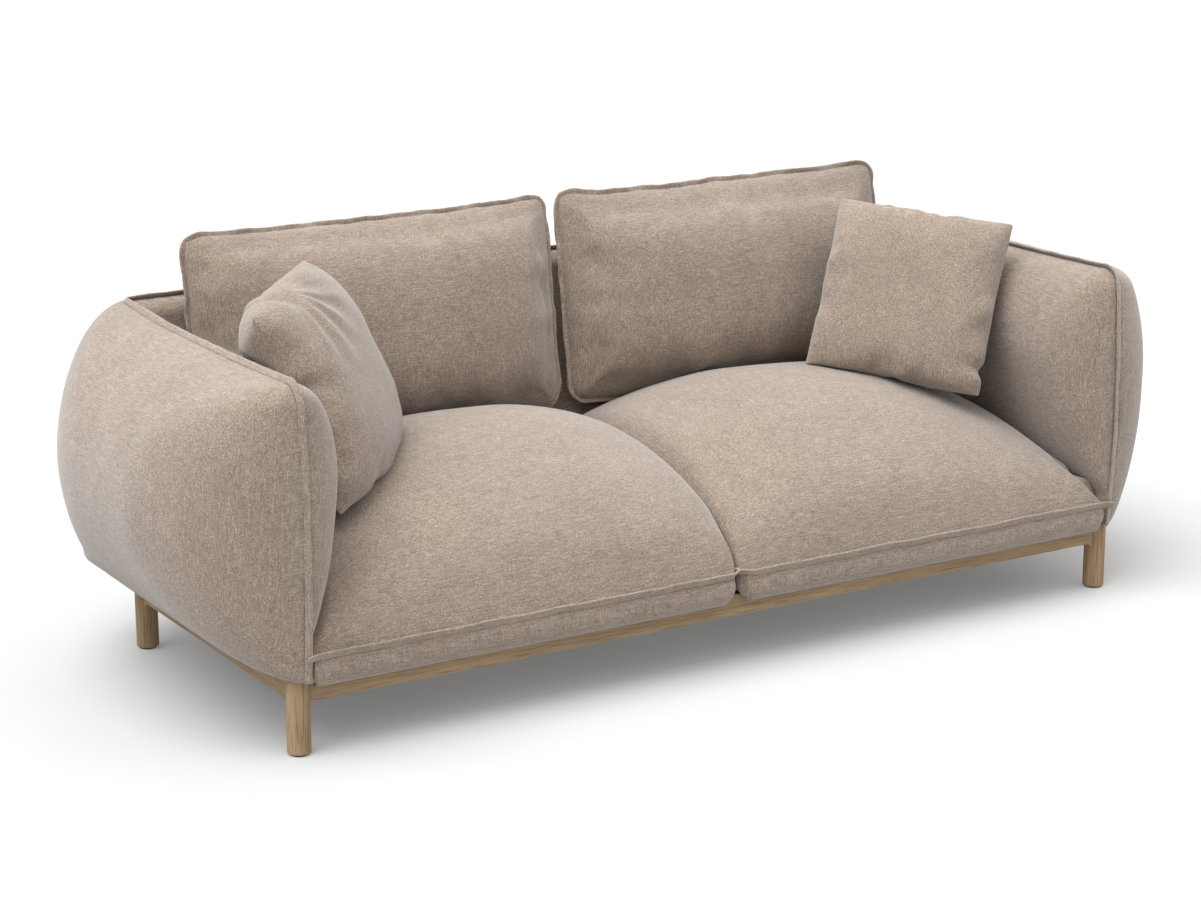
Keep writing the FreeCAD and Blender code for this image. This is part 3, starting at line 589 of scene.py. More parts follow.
def seam_path():
    """The shell's seam from the foot of the right nose to the middle of the back."""
    points = []
    step = 0.006
    corner_z = PAD_HIGH - TOP_CORNER
    for z in np.linspace(PAD_LOW + 0.001, corner_z - 0.001, 60):
        points.append((SEAM_X, front_line(z), z))
    base = front_line(corner_z)
    for angle in np.radians(np.linspace(6, 90, 14)):
        points.append((SEAM_X, base + TOP_CORNER * (1 - math.cos(angle)),
                       corner_z + TOP_CORNER * math.sin(angle)))
    turn_x, turn_y = SEAM_X - MITRE_TURN, SEAM_Y - MITRE_TURN
    for y in np.arange(points[-1][1] + step, turn_y, step):
        points.append((SEAM_X, y, PAD_HIGH + top_rise(SEAM_X, y)))
    back_top = PAD_HIGH + BACK_RISE
    for angle in np.radians(np.linspace(0, 90, 9)):
        points.append((turn_x + MITRE_TURN * math.cos(angle),
                       turn_y + MITRE_TURN * math.sin(angle), back_top))
    for x in np.arange(turn_x - step, step / 2, -step):
        points.append((x, SEAM_Y, back_top))
    return points


def make_shell_welt():
    """The flat folded seam that runs up each nose and along the top of arms and back."""
    half = [Vector(point) for point in seam_path()]
    path = half + [Vector((-p.x, p.y, p.z)) for p in reversed(half)]
    stations = []
    run = 0.0
    for index, point in enumerate(path):
        before = path[max(index - 1, 0)]
        after = path[min(index + 1, len(path) - 1)]
        tangent = (after - before).normalized()
        run += (point - before).length
        share = 0.0
        if abs(point.y - SEAM_Y) < MITRE_TURN + 0.001:
            share = min(max((SEAM_X - abs(point.x)) / MITRE_TURN, 0.0), 1.0)
        inward = Vector((-math.copysign(1 - share, point.x), -share, 0))
        inward = (inward - tangent * inward.dot(tangent)).normalized()
        up = tangent.cross(inward).normalized()
        if up.dot(Vector((0, -0.5, 1))) < 0:
            up = -up
        on_top = smooth_step(abs(up.z), 0.1, 0.9)
        lean = math.radians(24 + 26 * on_top + 8 * wave_1d(run, 0.05, 6.0))
        wide = inward * math.cos(lean) + up * math.sin(lean)
        thin = up * math.cos(lean) - inward * math.sin(lean)
        wobble = 0.0009 * wave_1d(run, 0.022, 8.0)
        root = point + up * 0.0008 + thin * wobble - inward * 0.0015
        stations.append((root, wide, thin, WELT + 0.0008 * wave_1d(run, 0.03, 2.0)))
    welt = ribbon("shell_welt", stations, WELT_THICK)
    return upholster(welt, "frame", (), FABRIC_WELT_PAINTED_LIGHT)


make_outer_shell()
for side in (-1, 1):
    make_inner_arm(side)
make_inner_back()
make_shell_welt()


# ------------------------------------------------------------ seat cushions

SEAT_LOW, SEAT_HIGH = span("seat_cushion_right")
SEAT_WELT = 0.187            # height of the flange above the floor
BAND_FOOT = 0.128            # the front band reaches down to here
ARM_CORNER, MIDDLE_CORNER, REAR_CORNER, CORE_CORNER = 0.016, 0.026, 0.030, 0.012
CORE_INSET = 0.20            # a flat grid fills each cushion inside this border
CROWN_Y = -0.040
CROWN = 0.457
SIDE_STEP, SIDE_EASE = 0.029, 0.2
UNDER_CLEAR = 0.002
LOW_X, HIGH_X = SEAT_LOW[0] + 0.001, SEAT_HIGH[0] - 0.001
LOW_Y, HIGH_Y = SEAT_LOW[1] + 0.002, SEAT_HIGH[1]
OUTLINE_STEPS = 96
CORNER_ARC = 14


def seat_outline(inset, radii):
    """Points round the right cushion: 4 * OUTLINE_STEPS of them, from the front middle corner.

    Each is (x, y, outward x, outward y). The radii are for the front middle, front arm,
    rear arm and rear middle corners.
    """
    low_x, high_x = LOW_X + inset, HIGH_X - inset
    low_y, high_y = LOW_Y + inset, HIGH_Y - inset
    corners = ((low_x, low_y, 1, 1, 180), (high_x, low_y, -1, 1, 270),
               (high_x, high_y, -1, -1, 0), (low_x, high_y, 1, -1, 90))
    arcs = [(x + inward_x * radius, y + inward_y * radius, radius, start)
            for (x, y, inward_x, inward_y, start), radius in zip(corners, radii)]

    def on_arc(arc, degrees):
        x, y, radius, _ = arc
        nx, ny = math.cos(math.radians(degrees)), math.sin(math.radians(degrees))
        return x + radius * nx, y + radius * ny, nx, ny

    straight = OUTLINE_STEPS - 2 * CORNER_ARC
    points = []
    for index, arc in enumerate(arcs):
        after, start = arcs[(index + 1) % 4], arc[3]
        points += [on_arc(arc, start + 45 + 45 * step / CORNER_ARC) for step in range(CORNER_ARC)]
        x, y, nx, ny = on_arc(arc, start + 90)
        far_x, far_y = on_arc(after, start + 90)[:2]
        for step in range(straight):
            share = step / straight
            points.append((x + (far_x - x) * share, y + (far_y - y) * share, nx, ny))
        points += [on_arc(after, after[3] + 45 * step / CORNER_ARC) for step in range(CORNER_ARC)]
    return points


def narrowed(x, y):
    """Behind its front band the cushion is narrower, to pass the bulge of the arm."""
    share = max(x - (HIGH_X - SIDE_EASE), 0.0) / SIDE_EASE
    return x - SIDE_STEP * share * smooth_step(y, LOW_Y + 0.025, LOW_Y + 0.095)


def crown_height(x, y):
    """Rise of the crowned top above the flange, before its edges are rounded."""
    share = min(max((y - LOW_Y) / (CROWN_Y - LOW_Y), 0.0), 1.0)
    rise = max(1 - (1 - share) ** 2.0, 0.0) ** 0.56
    if y > CROWN_Y:
        rise = 1 - 0.24 * ((y - CROWN_Y) / (HIGH_Y - CROWN_Y)) ** 2
    across = (x - LOW_X) / (HIGH_X - LOW_X)
    if across < 0.4:
        side = 1 - 0.27 * ((0.4 - across) / 0.4) ** 2.2
    else:
        side = 1 - 0.52 * (max(across - 0.42, 0.0) / 0.58) ** 2
    return (CROWN - SEAT_WELT) * rise * side


def edge_share(depth, nx, ny):
    """Share of the crown's rise reached at a depth inside the flange."""
    facing = {"front": max(-ny, 0.0) ** 2, "rear": max(ny, 0.0) ** 2,
              "arm": max(nx, 0.0) ** 2, "middle": max(-nx, 0.0) ** 2}

    def rounded(width, power):
        near = min(depth / width, 1.0)
        return (1 - (1 - near) ** power) ** (1 / power)

    front = 1 - math.exp(-((depth / 0.020) ** 1.3))
    return (facing["front"] * front + facing["rear"] * rounded(0.05, 3.0)
            + facing["arm"] * rounded(0.085, 1.6) + facing["middle"] * rounded(0.060, 3.4))


def flange_level(y):
    """The side seam climbs from the front flange to the level of the deck."""
    climb = DECK_TOP + 0.018 - SEAT_WELT
    return SEAT_WELT + climb * smooth_step(y, DECK_FRONT - 0.02, DECK_FRONT + 0.05)


# the front band below the flange: how far it stands out, and its share of the way down
BAND = ((0.0030, 0.10), (0.0052, 0.24), (0.0060, 0.42), (0.0052, 0.60), (0.0022, 0.76),
        (-0.0040, 0.90), (-0.0120, 0.98), (-0.0200, 1.0), (-0.0255, 0.95))


def band_rows(outline):
    rows = []
    for out, drop in BAND:
        row = []
        for x, y, nx, ny in outline:
            corner = abs(nx * ny) * 2
            behind = smooth_step(y, DECK_FRONT - 0.045, DECK_FRONT - 0.005)
            top = flange_level(y)
            foot = BAND_FOOT + 0.006 * corner
            foot += (DECK_TOP + UNDER_CLEAR - foot) * behind
            pull = out - 0.009 * corner * drop**3
            if abs(nx) > 0.5:
                pull = min(pull, 0.0)
            row.append((narrowed(x, y) + nx * pull, y + ny * pull, top + (foot - top) * drop))
        rows.append(row)
    return rows


def make_seat_cushion(side):
    outline = seat_outline(0.0, (MIDDLE_CORNER, ARM_CORNER, REAR_CORNER, REAR_CORNER))
    core = seat_outline(CORE_INSET, (CORE_CORNER,) * 4)
    seed = 20.0 + side
    count = len(outline)
    rings = 48
    rows = []
    for ring in range(rings + 1):
        inward = 1 - math.cos(ring / rings * math.pi / 2)
        row = []
        for (ox, oy, nx, ny), (kx, ky, _, _) in zip(outline, core):
            x, y = ox + (kx - ox) * inward, oy + (ky - oy) * inward
            depth = math.hypot(x - ox, y - oy)
            base = flange_level(oy)
            top = SEAT_WELT + crown_height(x, y)
            row.append((narrowed(x, y), y, base + max(top - base, 0) * edge_share(depth, nx, ny)))
        rows.append(row)

    lower = band_rows(outline)
    under = []
    for share in (0.03, 0.2, 0.45, 0.75, 1.0):
        row = []
        for (ox, oy, _), (kx, ky, _, _) in zip(lower[-1], core):
            x, y = ox + (kx - ox) * share, oy + (ky - oy) * share
            level = SEAT_LOW[2] if y < DECK_FRONT - 0.004 else DECK_TOP + UNDER_CLEAR
            row.append((x, y, level))
        under.append(row)

    all_rows = under[::-1] + lower[::-1] + rows
    vertices = [point for row in all_rows for point in row]
    faces = grid_faces(len(all_rows), count, wrap_columns=True)

    def fill_core(row_start, height):
        """Close a ring of 4 * OUTLINE_STEPS points with a square grid."""
        size = OUTLINE_STEPS
        index_of = {}
        for step in range(size):
            index_of[step, 0] = row_start + step
            index_of[size, step] = row_start + size + step
            index_of[size - step, size] = row_start + 2 * size + step
            index_of[0, size - step] = row_start + 3 * size + step
        for i in range(1, size):
            for j in range(1, size):
                left, right = vertices[index_of[0, j]], vertices[index_of[size, j]]
                front, rear = vertices[index_of[i, 0]], vertices[index_of[i, size]]
                x = front[0] + (rear[0] - front[0]) * j / size
                y = left[1] + (right[1] - left[1]) * i / size
                index_of[i, j] = len(vertices)
                vertices.append((x, y, height(x, y)))
        for i in range(size):
            for j in range(size):
                faces.append((index_of[i, j], index_of[i + 1, j], index_of[i + 1, j + 1],
                              index_of[i, j + 1]))

    fill_core((len(all_rows) - 1) * count, lambda x, y: SEAT_WELT + crown_height(x, y))
    fill_core(0, lambda x, y: DECK_TOP + UNDER_CLEAR)

    shaped = []
    for x, y, z in vertices:
        lift = smooth_step(z, SEAT_WELT, SEAT_WELT + 0.05)
        near_flange = math.exp(-((y - LOW_Y) / 0.05) ** 2)
        near_flange *= smooth_step(z, SEAT_WELT - 0.05, SEAT_WELT)
        slack = wave((x, y, z), 0.30, seed) * 0.008 + wave((x, y, z), 0.12, seed + 3) * 0.0028
        pucker = wave_1d(x, 0.055, seed + 7) * 0.0022 * near_flange
        keep_off_side = min(max(min((x - LOW_X) / 0.05, (HIGH_X - 0.03 - x) / 0.05), 0.0), 1.0)
        in_band = smooth_step(-y, -LOW_Y - 0.02, -LOW_Y - 0.005) * (z < SEAT_WELT)
        ripple = wave((x, 0, z), 0.09, seed + 9) * 0.0018 + wave((x, 0, z), 0.04, seed) * 0.0006
        shaped.append((side * x, y - ripple * in_band,
                       z + slack * lift * keep_off_side + pucker * lift))
    name = SIDE_NAME[side]
    cushion = new_object(f"seat_{name}", shaped, faces)
    upholster(cushion, f"seat_{name}", (f"seat_cushion_{name}",))
    make_seat_flange(side, outline, seed)


def make_seat_flange(side, outline, seed):
    """The sewn flange: it turns the middle corner and ends in a tab over the arm's seam."""
    back_along_side = int(OUTLINE_STEPS * 0.13)
    order = list(range(len(outline) - CORNER_ARC - back_along_side, len(outline)))
    order += list(range(0, OUTLINE_STEPS - CORNER_ARC + 1))
    track = [outline[index] for index in order]
    last_x, last_y = track[-1][:2]
    tab_end = SEAM_X + 0.003
    steps = 9
    for step in range(1, steps + 1):
        share = step / steps
        track.append((last_x + (tab_end - last_x) * share, last_y - 0.0060 * share, 0.0, -1.0))
    stations = []
    run = 0.0
    for place, (x, y, nx, ny) in enumerate(track):
        if place:
            run += math.hypot(x - track[place - 1][0], y - track[place - 1][1])
        from_tab = len(track) - 1 - place
        out = Vector((side * nx, ny, 0))
        corner = abs(nx * ny) * 2
        lean = math.radians(68 + 12 * wave_1d(run, 0.060, seed) - 16 * corner)
        wide = out * math.cos(lean) + Vector((0, 0, math.sin(lean)))
        thin = out * math.sin(lean) - Vector((0, 0, math.cos(lean)))
        droop = 0.0015 * max(1 - from_tab / 7, 0.0) ** 2
        rise = 0.0024 * wave_1d(run, 0.070, seed + 1) + 0.004 * corner
        in_front = min(place / 10, 1.0)
        root = Vector((side * x, y, SEAT_WELT - 0.001 + rise - droop))
        root += out * (0.0022 + 0.0007 * wave_1d(run, 0.02, seed + 2)) * in_front
        full = WELT + 0.001 + 0.0008 * wave_1d(run, 0.035, seed + 4)
        tapered = full * (0.45 + 0.55 * min((from_tab + 0.6) / 2.2, 1.0) ** 0.5)
        stations.append((root, wide, thin, tapered))
    name = SIDE_NAME[side]
    welt = ribbon(f"seat_welt_{name}", stations, WELT_THICK)
    upholster(welt, f"seat_{name}", (), FABRIC_WELT_PAINTED_LIGHT)


for side in (-1, 1):
    make_seat_cushion(side)


# ------------------------------------------------------------ sewn covers blown up as cloth

def flat_outline(u, v, width, height, corner):
    """Place in a flat panel for u and v from -1 to 1, with its corners rounded off."""
    x, z = u * width / 2, v * height / 2
    over_x = max(abs(x) - (width / 2 - corner), 0.0)
    over_z = max(abs(z) - (height / 2 - corner), 0.0)
    if over_x > 0 and over_z > 0:
        shrink = max(over_x, over_z) / math.hypot(over_x, over_z)
        x = math.copysign(width / 2 - corner + over_x * shrink, x)
        z = math.copysign(height / 2 - corner + over_z * shrink, z)
    return x, z


CROWN_SQUARE = 2.6
SPARE_WIDTH, SPARE_HEIGHT = 1.05, 1.08   # cloth cut larger than the filled cover
CLOTH = {"quality": 5, "mass": 0.35, "tension_stiffness": 22, "compression_stiffness": 16,
         "shear_stiffness": 8, "bending_stiffness": 0.5, "tension_damping": 12,
         "compression_damping": 12, "bending_damping": 1.5, "air_damping": 4,
         "use_pressure": True}


class Cover:
    """Two panels sewn together round their edge, as one closed mesh."""

    def __init__(self, name, width, height, corner, columns, rows, seed):
        self.width, self.height = width, height
        self.columns, self.rows = columns, rows
        self.index_of = {}
        vertices = []
        for layer in (0, 1):
            for i in range(columns + 1):
                for j in range(rows + 1):
                    rim = i in (0, columns) or j in (0, rows)
                    if layer and rim:
                        self.index_of[i, j, 1] = self.index_of[i, j, 0]
                        continue
                    u, v = 2 * i / columns - 1, 2 * j / rows - 1
                    x, z = flat_outline(u, v, width * SPARE_WIDTH, height * SPARE_HEIGHT, corner)
                    bow = 0.0 if rim else 0.014 * (1 - u**4) * (1 - v**4)
                    jitter = 0.0 if rim else 0.002 * wave((x, z, layer), 0.03, seed)
                    self.index_of[i, j, layer] = len(vertices)
                    vertices.append((x, (-1 if layer == 0 else 1) * bow + jitter, z))
        faces = []
        for i in range(columns):
            for j in range(rows):
                for layer in (0, 1):
                    face = [self.index_of[i + a, j + b, layer]
                            for a, b in ((0, 0), (1, 0), (1, 1), (0, 1))]
                    faces.append(face if layer == 0 else face[::-1])
        mesh = bpy.data.meshes.new(name)
        mesh.from_pydata(vertices, [], faces)
        mesh.update()
        self.item = bpy.data.objects.new(name, mesh)
        scene.collection.objects.link(self.item)
        self.rim = [self.index_of[i, 0, 0] for i in range(columns)]
        self.rim += [self.index_of[columns, j, 0] for j in range(rows)]
        self.rim += [self.index_of[columns - i, rows, 0] for i in range(columns)]
        self.rim += [self.index_of[0, rows - j, 0] for j in range(rows)]

    def fill(self, pressure, frames):
        """Blow the cover up with Blender's cloth solver and keep the result."""
        cloth = self.item.modifiers.new("Cloth", "CLOTH")
        settings = cloth.settings
        for setting, value in CLOTH.items():
            setattr(settings, setting, value)
        settings.uniform_pressure_force = pressure
        settings.effector_weights.gravity = 0
        cloth.collision_settings.use_collision = False
        cloth.point_cache.frame_start = 1
        cloth.point_cache.frame_end = frames
        for number in range(1, frames + 1):
            scene.frame_set(number)
        shaped = bpy.data.meshes.new_from_object(
            self.item.evaluated_get(bpy.context.evaluated_depsgraph_get())
        )
        points = np.array([vertex.co[:] for vertex in shaped.vertices])
        self.item.modifiers.clear()
        scene.frame_set(1)
        bpy.data.meshes.remove(shaped)
        points -= (points.max(axis=0) + points.min(axis=0)) / 2
        set_points(self.item, points)

    def pull_edges(self, wanted):
        """Ease the whole cover so that its seam follows wanted(u, v) -> (x, z)."""
        points = points_of(self.item)
        columns, rows = self.columns, self.rows

        def gap(i, j):
            x, z = wanted(2 * i / columns - 1, 2 * j / rows - 1)
            here = points[self.index_of[i, j, 0]]
            return np.array([x - here[0], z - here[2]])

        low = np.array([gap(i, 0) for i in range(columns + 1)])
        high = np.array([gap(i, rows) for i in range(columns + 1)])
        left = np.array([gap(0, j) for j in range(rows + 1)])
        right = np.array([gap(columns, j) for j in range(rows + 1)])
        moves = np.zeros((len(points), 2))
        for (i, j, layer), index in self.index_of.items():
            u, v = i / columns, j / rows
            blend = (1 - u) * left[j] + u * right[j] + (1 - v) * low[i] + v * high[i]
            blend -= (1 - u) * (1 - v) * left[0] + u * (1 - v) * right[0]
            blend -= (1 - u) * v * left[rows] + u * v * right[rows]
            moves[index] = blend
        points[:, 0] += moves[:, 0]
        points[:, 2] += moves[:, 1]
        rim = points[self.rim]
        rim[:, 1] *= 0.35
        points[self.rim] = rim
        return points

    def even_out(self, points, passes, share, depths, fullness):
        """Smooth the filled cover and bring it part of the way to an even crown."""
        columns, rows = self.columns, self.rows
        for layer, deep in enumerate(depths):
            order = np.array([[self.index_of[i, j, layer] for j in range(rows + 1)]
                              for i in range(columns + 1)])
            sheet = points[order]
            for _ in range(passes):
                middle = sheet[:-2, 1:-1] + sheet[2:, 1:-1] + sheet[1:-1, :-2] + sheet[1:-1, 2:]
                sheet[1:-1, 1:-1] = 0.5 * sheet[1:-1, 1:-1] + 0.125 * middle
            u = np.abs(np.linspace(-1, 1, columns + 1))[:, None]
            v = np.abs(np.linspace(-1, 1, rows + 1))[None, :]
            crown = ((1 - u**CROWN_SQUARE) * (1 - v**CROWN_SQUARE)) ** fullness
            filled = np.abs(sheet[:, :, 1]) / np.abs(sheet[:, :, 1]).max()
            facing = -1 if layer == 0 else 1
            inside = (slice(1, -1), slice(1, -1))
            depth = facing * deep * (share * crown + (1 - share) * filled)
            sheet[:, :, 1][inside] = depth[inside]
            points[order[1:-1, 1:-1]] = sheet[1:-1, 1:-1]
        return points

    def pucker(self, points, amount, spacing, reach, seed):
        """Short creases that run in from the seam."""
        columns, rows = self.columns, self.rows
        step_x, step_z = self.width / columns, self.height / rows
        for (i, j, layer), index in self.index_of.items():
            if i in (0, columns) or j in (0, rows):
                continue
            sides = ((j * step_z, i * step_x, 1.0), ((rows - j) * step_z, i * step_x, 2.0),
                     (i * step_x, j * step_z, 3.0), ((columns - i) * step_x, j * step_z, 4.0))
            push = 0.0
            for depth, along, key in sides:
                skew = along + 0.25 * depth * wave_1d(along, 0.15, seed + key)
                crease = wave_1d(skew, spacing, seed + key)
                crease += 0.5 * wave_1d(skew, spacing / 2, seed)
                push += crease * math.exp(-depth / reach) * min(depth / 0.012, 1.0)
            points[index, 1] += (-1 if layer == 0 else 1) * amount * push
        return points

    def smooth_skin(self):
        """Split the faces once and weld, so that shading shows no facets."""
        subdivide = self.item.modifiers.new("Subdivision", "SUBSURF")
        subdivide.levels = subdivide.render_levels = 1
        shaped = bpy.data.meshes.new_from_object(
            self.item.evaluated_get(bpy.context.evaluated_depsgraph_get())
        )
        self.item.modifiers.clear()
        old = self.item.data
        self.item.data = shaped
        bpy.data.meshes.remove(old)
        tidy(self.item)


def to_world(points, middle, yaw, lean, roll):
    """Roll, lean back and turn a flat cover's points, in degrees, then move them."""
    a, b, c = (math.radians(angle) for angle in (yaw, lean, roll))
    turn = np.array([[math.cos(a), -math.sin(a), 0], [math.sin(a), math.cos(a), 0], [0, 0, 1]])
    tip = np.array([[1, 0, 0], [0, math.cos(b), math.sin(b)], [0, -math.sin(b), math.cos(b)]])
    spin = np.array([[math.cos(c), 0, math.sin(c)], [0, 1, 0], [-math.sin(c), 0, math.cos(c)]])
    return points @ (turn @ tip @ spin).T + np.array(middle)


BACK_WIDTH, BACK_HEIGHT = 0.808, 0.424
BACK_FRONT, BACK_REAR, BACK_CORNER = 0.116, 0.040, 0.042


def make_back_cushion(side):
    name = SIDE_NAME[side]
    cover = Cover(f"back_{name}", BACK_WIDTH, BACK_HEIGHT, BACK_CORNER, 96, 52, 30.0 + side)
    cover.fill(6.0, 24)

    def wanted(u, v):
        x, z = flat_outline(u, v, BACK_WIDTH, BACK_HEIGHT, BACK_CORNER)
        ear = (0.014 - 0.005 * u * side) * abs(u) ** 6 if v > 0 else 0.0
        wavy = 0.0040 * wave_1d(x, 0.10, 33.0 + side) + 0.0022 * wave_1d(x, 0.035, 34.0)
        bow = -0.010 * (1 - u * u) * (v < 0) * abs(v)
        ruffle = 0.003 * wave_1d(z, 0.08, 35.0 + side)
        return x + ruffle * abs(u) ** 8, z + ear + wavy * abs(v) ** 8 + bow

    points = cover.even_out(cover.pull_edges(wanted), 5, 0.62, (BACK_FRONT, BACK_REAR), 0.60)
    front = points[:, 1] < 0
    points[front, 1] *= 1 - 0.26 * np.clip(points[front, 2] / BACK_HEIGHT, -0.5, 0.5)
    points = cover.pucker(points, 0.0030, 0.034, 0.030, 36.0 + side)
    low, high = span(f"back_cushion_{name}")
    flat = math.radians(RECLINE)
    centre_z = low[2] + 0.010 + BACK_HEIGHT / 2 * math.cos(flat)
    face_y = BACK_LOW[1] + (centre_z - BACK_LOW[2]) * math.tan(flat)
    centre_x = (low[0] + high[0]) / 2 + 0.008 * side + 0.002
    middle = (centre_x, face_y - BACK_REAR - 0.006, centre_z)
    placed = to_world(points, middle, 0, RECLINE, 0)
    set_points(cover.item, placed)
    cover.smooth_skin()
    upholster(cover.item, f"back_{name}", (f"back_cushion_{name}",))
    make_flange(f"back_welt_{name}", placed[cover.rim], f"back_{name}", RECLINE, 40.0 + side)


def make_flange(name, rim_points, body, lean, seed):
    """A wavy sewn flange round a cushion's edge."""
    count = len(rim_points)
    track = [Vector(point) for point in rim_points]
    normal = Vector((0, -math.cos(math.radians(lean)), math.sin(math.radians(lean))))
    centre = sum(track, Vector()) / count
    stations = []
    run = 0.0
    for index in range(count):
        ahead, behind = track[(index + 1) % count], track[index - 1]
        tangent = (ahead - behind).normalized()
        run += (ahead - track[index]).length
        out = tangent.cross(normal).normalized()
        if out.dot(track[index] - centre) < 0:
            out = -out
        swing = math.radians(34 * wave_1d(run, 0.032, seed) + 20 * wave_1d(run, 0.080, seed + 2))
        wide = out * math.cos(swing) + normal * math.sin(swing)
        thin = normal * math.cos(swing) - out * math.sin(swing)
        ruffle = 0.0016 * wave_1d(run, 0.028, seed + 4)
        root = track[index] - out * 0.0045 + thin * ruffle
        width = WELT - 0.0005 + 0.0008 * wave_1d(run, 0.025, seed + 5)
        stations.append((root, wide, thin, width))
    flange = ribbon(name, stations, 0.0040, closed=True)
    upholster(flange, body, (), FABRIC_WELT_PAINTED_LIGHT)


for side in (-1, 1):
    make_back_cushion(side)

# width and height of each pillow as it lies; its turn, lean and roll in degrees
PILLOW = {"left": (0.380, 0.412), "right": (0.376, 0.380)}
PILLOW_TURN = {"left": (45.4, 23.6, -4), "right": (-45.6, 27.2, 6.3)}
PILLOW_FULLNESS = {"left": 0.70, "right": 0.60}
PILLOW_HALF_DEPTH = {"left": 0.098, "right": 0.072}
# how far each filled pillow settles from where the plain part sits
PILLOW_SETTLE = {"left": (-0.010, -0.014, -0.050), "right": (0.001, 0.008, -0.026)}
PILLOW_CLEAR, PILLOW_SINK, SQUASH = 0.002, 0.006, 0.016
# dents in the seam: which edge (x, z), where along it from -1 to 1, how deep
PINCHES = {"left": ((0, 1, -0.42, 0.010), (1, 0, 0.2, 0.003)),
           "right": ((0, 1, 0.22, 0.008), (0, -1, 0.02, 0.007), (1, 0, -0.72, 0.013))}


def pinch(points, name):
    """Gathers in the seam, each with a short valley running in from it."""
    for edge_x, edge_z, along, deep in PINCHES[name]:
        half = PILLOW[name][abs(edge_z)] / 2
        for point in points:
            place = point[2] if edge_x else point[0]
            depth = half - (point[0] * edge_x if edge_x else point[2] * edge_z)
            off = (place - along * half) / 0.013
            pull = math.exp(-off * off)
            depth = max(depth, 0)
            move = deep * pull * math.exp(-depth / 0.03)
            point[0] -= edge_x * move
            point[2] -= edge_z * move
            spread = (place - along * half) / (0.010 + 0.25 * depth)
            point[1] *= 1 - 22 * deep * math.exp(-spread * spread) * math.exp(-depth / 0.035)
    return points


def slump_left(points):
    """The near top corner of the left pillow flops over; creases fan from the gather beside it."""
    half_x, half_z = (size / 2 for size in PILLOW["left"])
    gather_x = PINCHES["left"][0][2] * half_x
    for point in points:
        near = math.exp(-((math.hypot(point[0] + half_x, point[2] - half_z) / 0.060) ** 2))
        dx, dz = point[0] - gather_x, half_z - point[2]
        away = math.hypot(dx, dz)
        bearing = math.degrees(math.atan2(dz, dx))
        sector = smooth_step(bearing, 5, 30) * (1 - smooth_step(bearing, 85, 120))
        fan = smooth_step(away, 0.015, 0.05) * (1 - smooth_step(away, 0.10, 0.21)) * sector
        crease = math.sin(math.radians(bearing) * 15 + 2.0 * wave_1d(away, 0.10, 3.0))
        front = 1.0 if point[1] < 0 else 0.0
        point[1] -= 0.0042 * crease * fan * front
        point[0] -= 0.006 * near
        point[2] -= 0.010 * near
        point[1] -= 0.014 * near
    return points


def rest_on_sofa(points):
    """Squash a pillow softly where it meets the seat's crown and the arm's inner face."""
    for point in points:
        x, y, z = abs(point[0]), point[1], point[2]
        wall = SEAM_X - inner_bulge(z) - PILLOW_CLEAR
        over = x - (wall - SQUASH)
        if z < PAD_HIGH and over > 0:
            point[0] = math.copysign(wall - SQUASH * math.exp(-over / SQUASH), point[0])
        seat = SEAT_WELT + crown_height(min(max(x, LOW_X), HIGH_X), y) - PILLOW_SINK
        under = seat + SQUASH - z
        if under > 0:
            point[2] = seat + SQUASH * math.exp(-under / SQUASH)
    return points


def make_throw_pillow(side):
    name = SIDE_NAME[side]
    wide, tall = PILLOW[name]
    cover = Cover(f"pillow_{name}", wide, tall, 0.012, 60, 60, 50.0 + side)
    cover.fill(9.0, 22)

    def wanted(u, v):
        x, z = flat_outline(u, v, wide, tall, 0.010)
        hollow = 0.006 if side > 0 else 0.002
        x -= hollow * u * (1 - v * v)
        z -= hollow * v * (1 - u * u)
        return x, z

    deep = PILLOW_HALF_DEPTH[name]
    points = cover.even_out(cover.pull_edges(wanted), 8, 0.75, (deep, deep), PILLOW_FULLNESS[name])
    points = cover.pucker(points, 0.0008, 0.060, 0.030, 64.0 + side)
    points = pinch(points, name)
    if side < 0:
        points = slump_left(points)
    low, high = span(f"throw_pillow_{name}")
    middle = (low + high) / 2 + np.array(PILLOW_SETTLE[name])
    set_points(cover.item, rest_on_sofa(to_world(points, middle, *PILLOW_TURN[name])))
    cover.smooth_skin()
    upholster(cover.item, f"pillow_{name}", (f"throw_pillow_{name}",))


for side in (-1, 1):
    make_throw_pillow(side)


# ------------------------------------------------------------ room, light and camera

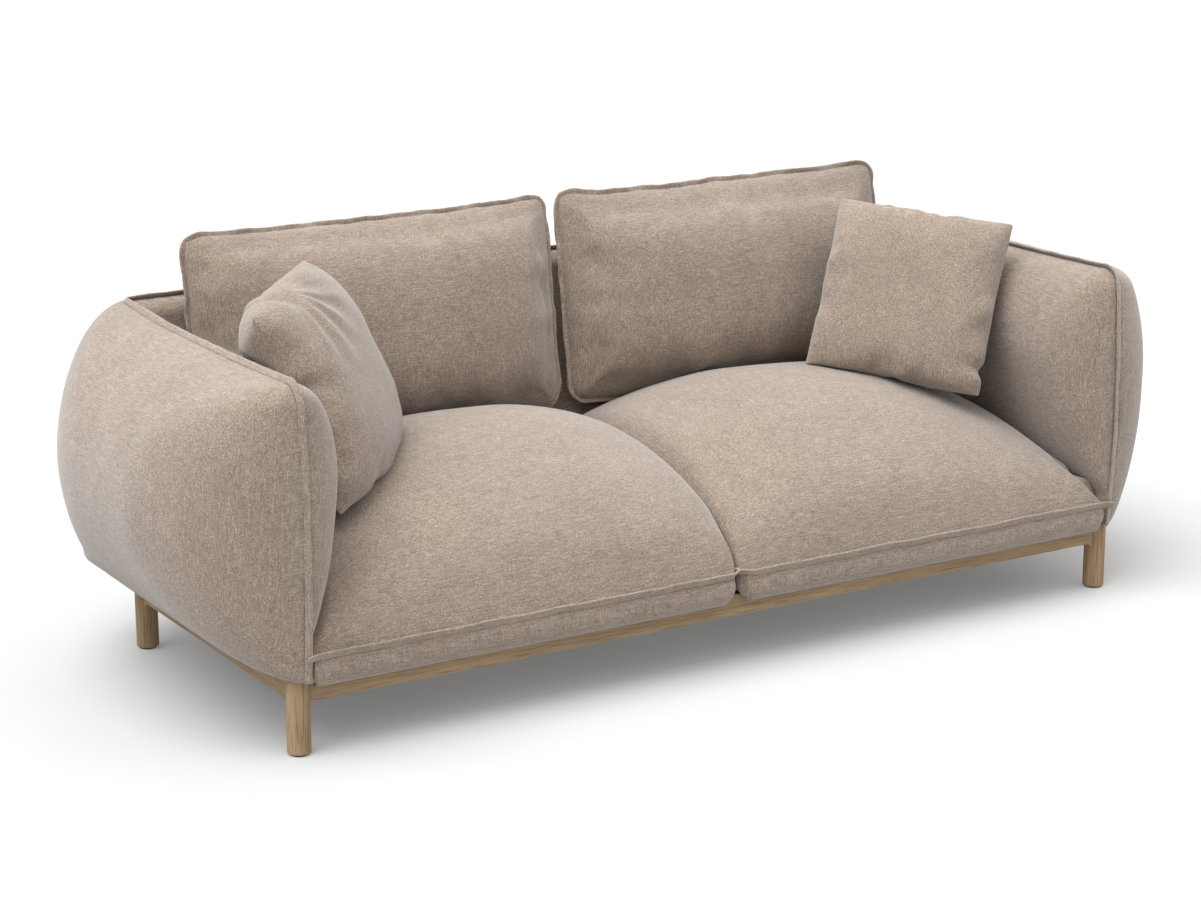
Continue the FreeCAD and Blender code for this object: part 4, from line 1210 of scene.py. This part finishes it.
def make_floor():
    """A wide, flat, pale floor, bright enough under the studio light to go white."""
    half = 24.0
    vertices = [(x, y, -0.0002) for y in (-half, half) for x in (-half, half)]
    floor = new_object("studio_floor", vertices, [(0, 1, 3, 2)], smooth=False)
    material, tree, shader = shader_tree("floor_white")
    grain = noise_node(tree, EVEN, 3.0, 2.0, 0.5)
    tone = ramp_node(tree, grain, [(0.2, (0.39, 0.39, 0.39)), (0.8, (0.41, 0.41, 0.41))])
    link(tree, tone, shader.inputs["Base Color"])
    set_inputs(shader, {"Roughness": 0.9, "Specular IOR Level": 0.1,
                        "Emission Color": (1.0, 1.0, 1.0, 1.0), "Emission Strength": 0.15})
    floor.data.materials.append(material)
    if floor.data.polygons[0].normal.z < 0:
        floor.data.flip_normals()


def make_light():
    """A room that is bright overhead and dimmer at the horizon, and one soft key light."""
    world = bpy.data.worlds.new("studio")
    world.use_nodes = True
    tree = world.node_tree
    place = tree.nodes.new("ShaderNodeTexCoord")
    split = tree.nodes.new("ShaderNodeSeparateXYZ")
    link(tree, place.outputs["Generated"], split.inputs["Vector"])
    shades = [(height, (level,) * 3) for height, level in ((0.0, 0.23), (0.25, 0.36), (0.95, 1.0))]
    sky = ramp_node(tree, split.outputs["Z"], shades)
    link(tree, sky, tree.nodes["Background"].inputs["Color"])
    tree.nodes["Background"].inputs["Strength"].default_value = 1.90
    scene.world = world
    data = bpy.data.lights.new("key", "SUN")
    data.energy = 3.35
    data.angle = math.radians(50)
    data.color = (0.95, 0.98, 1.0)
    lamp = bpy.data.objects.new("key", data)
    lamp.rotation_euler = (-Vector((-0.42, -0.06, 0.90))).to_track_quat("-Z", "Y").to_euler()
    scene.collection.objects.link(lamp)
    scene.view_settings.view_transform = "Standard"


def make_camera():
    """Looks down on the sofa from its front left through a long lens."""
    heading, tilt = math.radians(31.62), math.radians(15.38)
    data = bpy.data.cameras.new("camera")
    data.sensor_width = 36
    data.lens = 87.47
    camera = bpy.data.objects.new("camera", data)
    camera.location = (-3.0244, -4.8598, 1.9041)
    camera.rotation_euler = (math.pi / 2 - tilt, 0, -heading)
    scene.collection.objects.link(camera)
    scene.camera = camera


make_floor()
make_light()
make_camera()
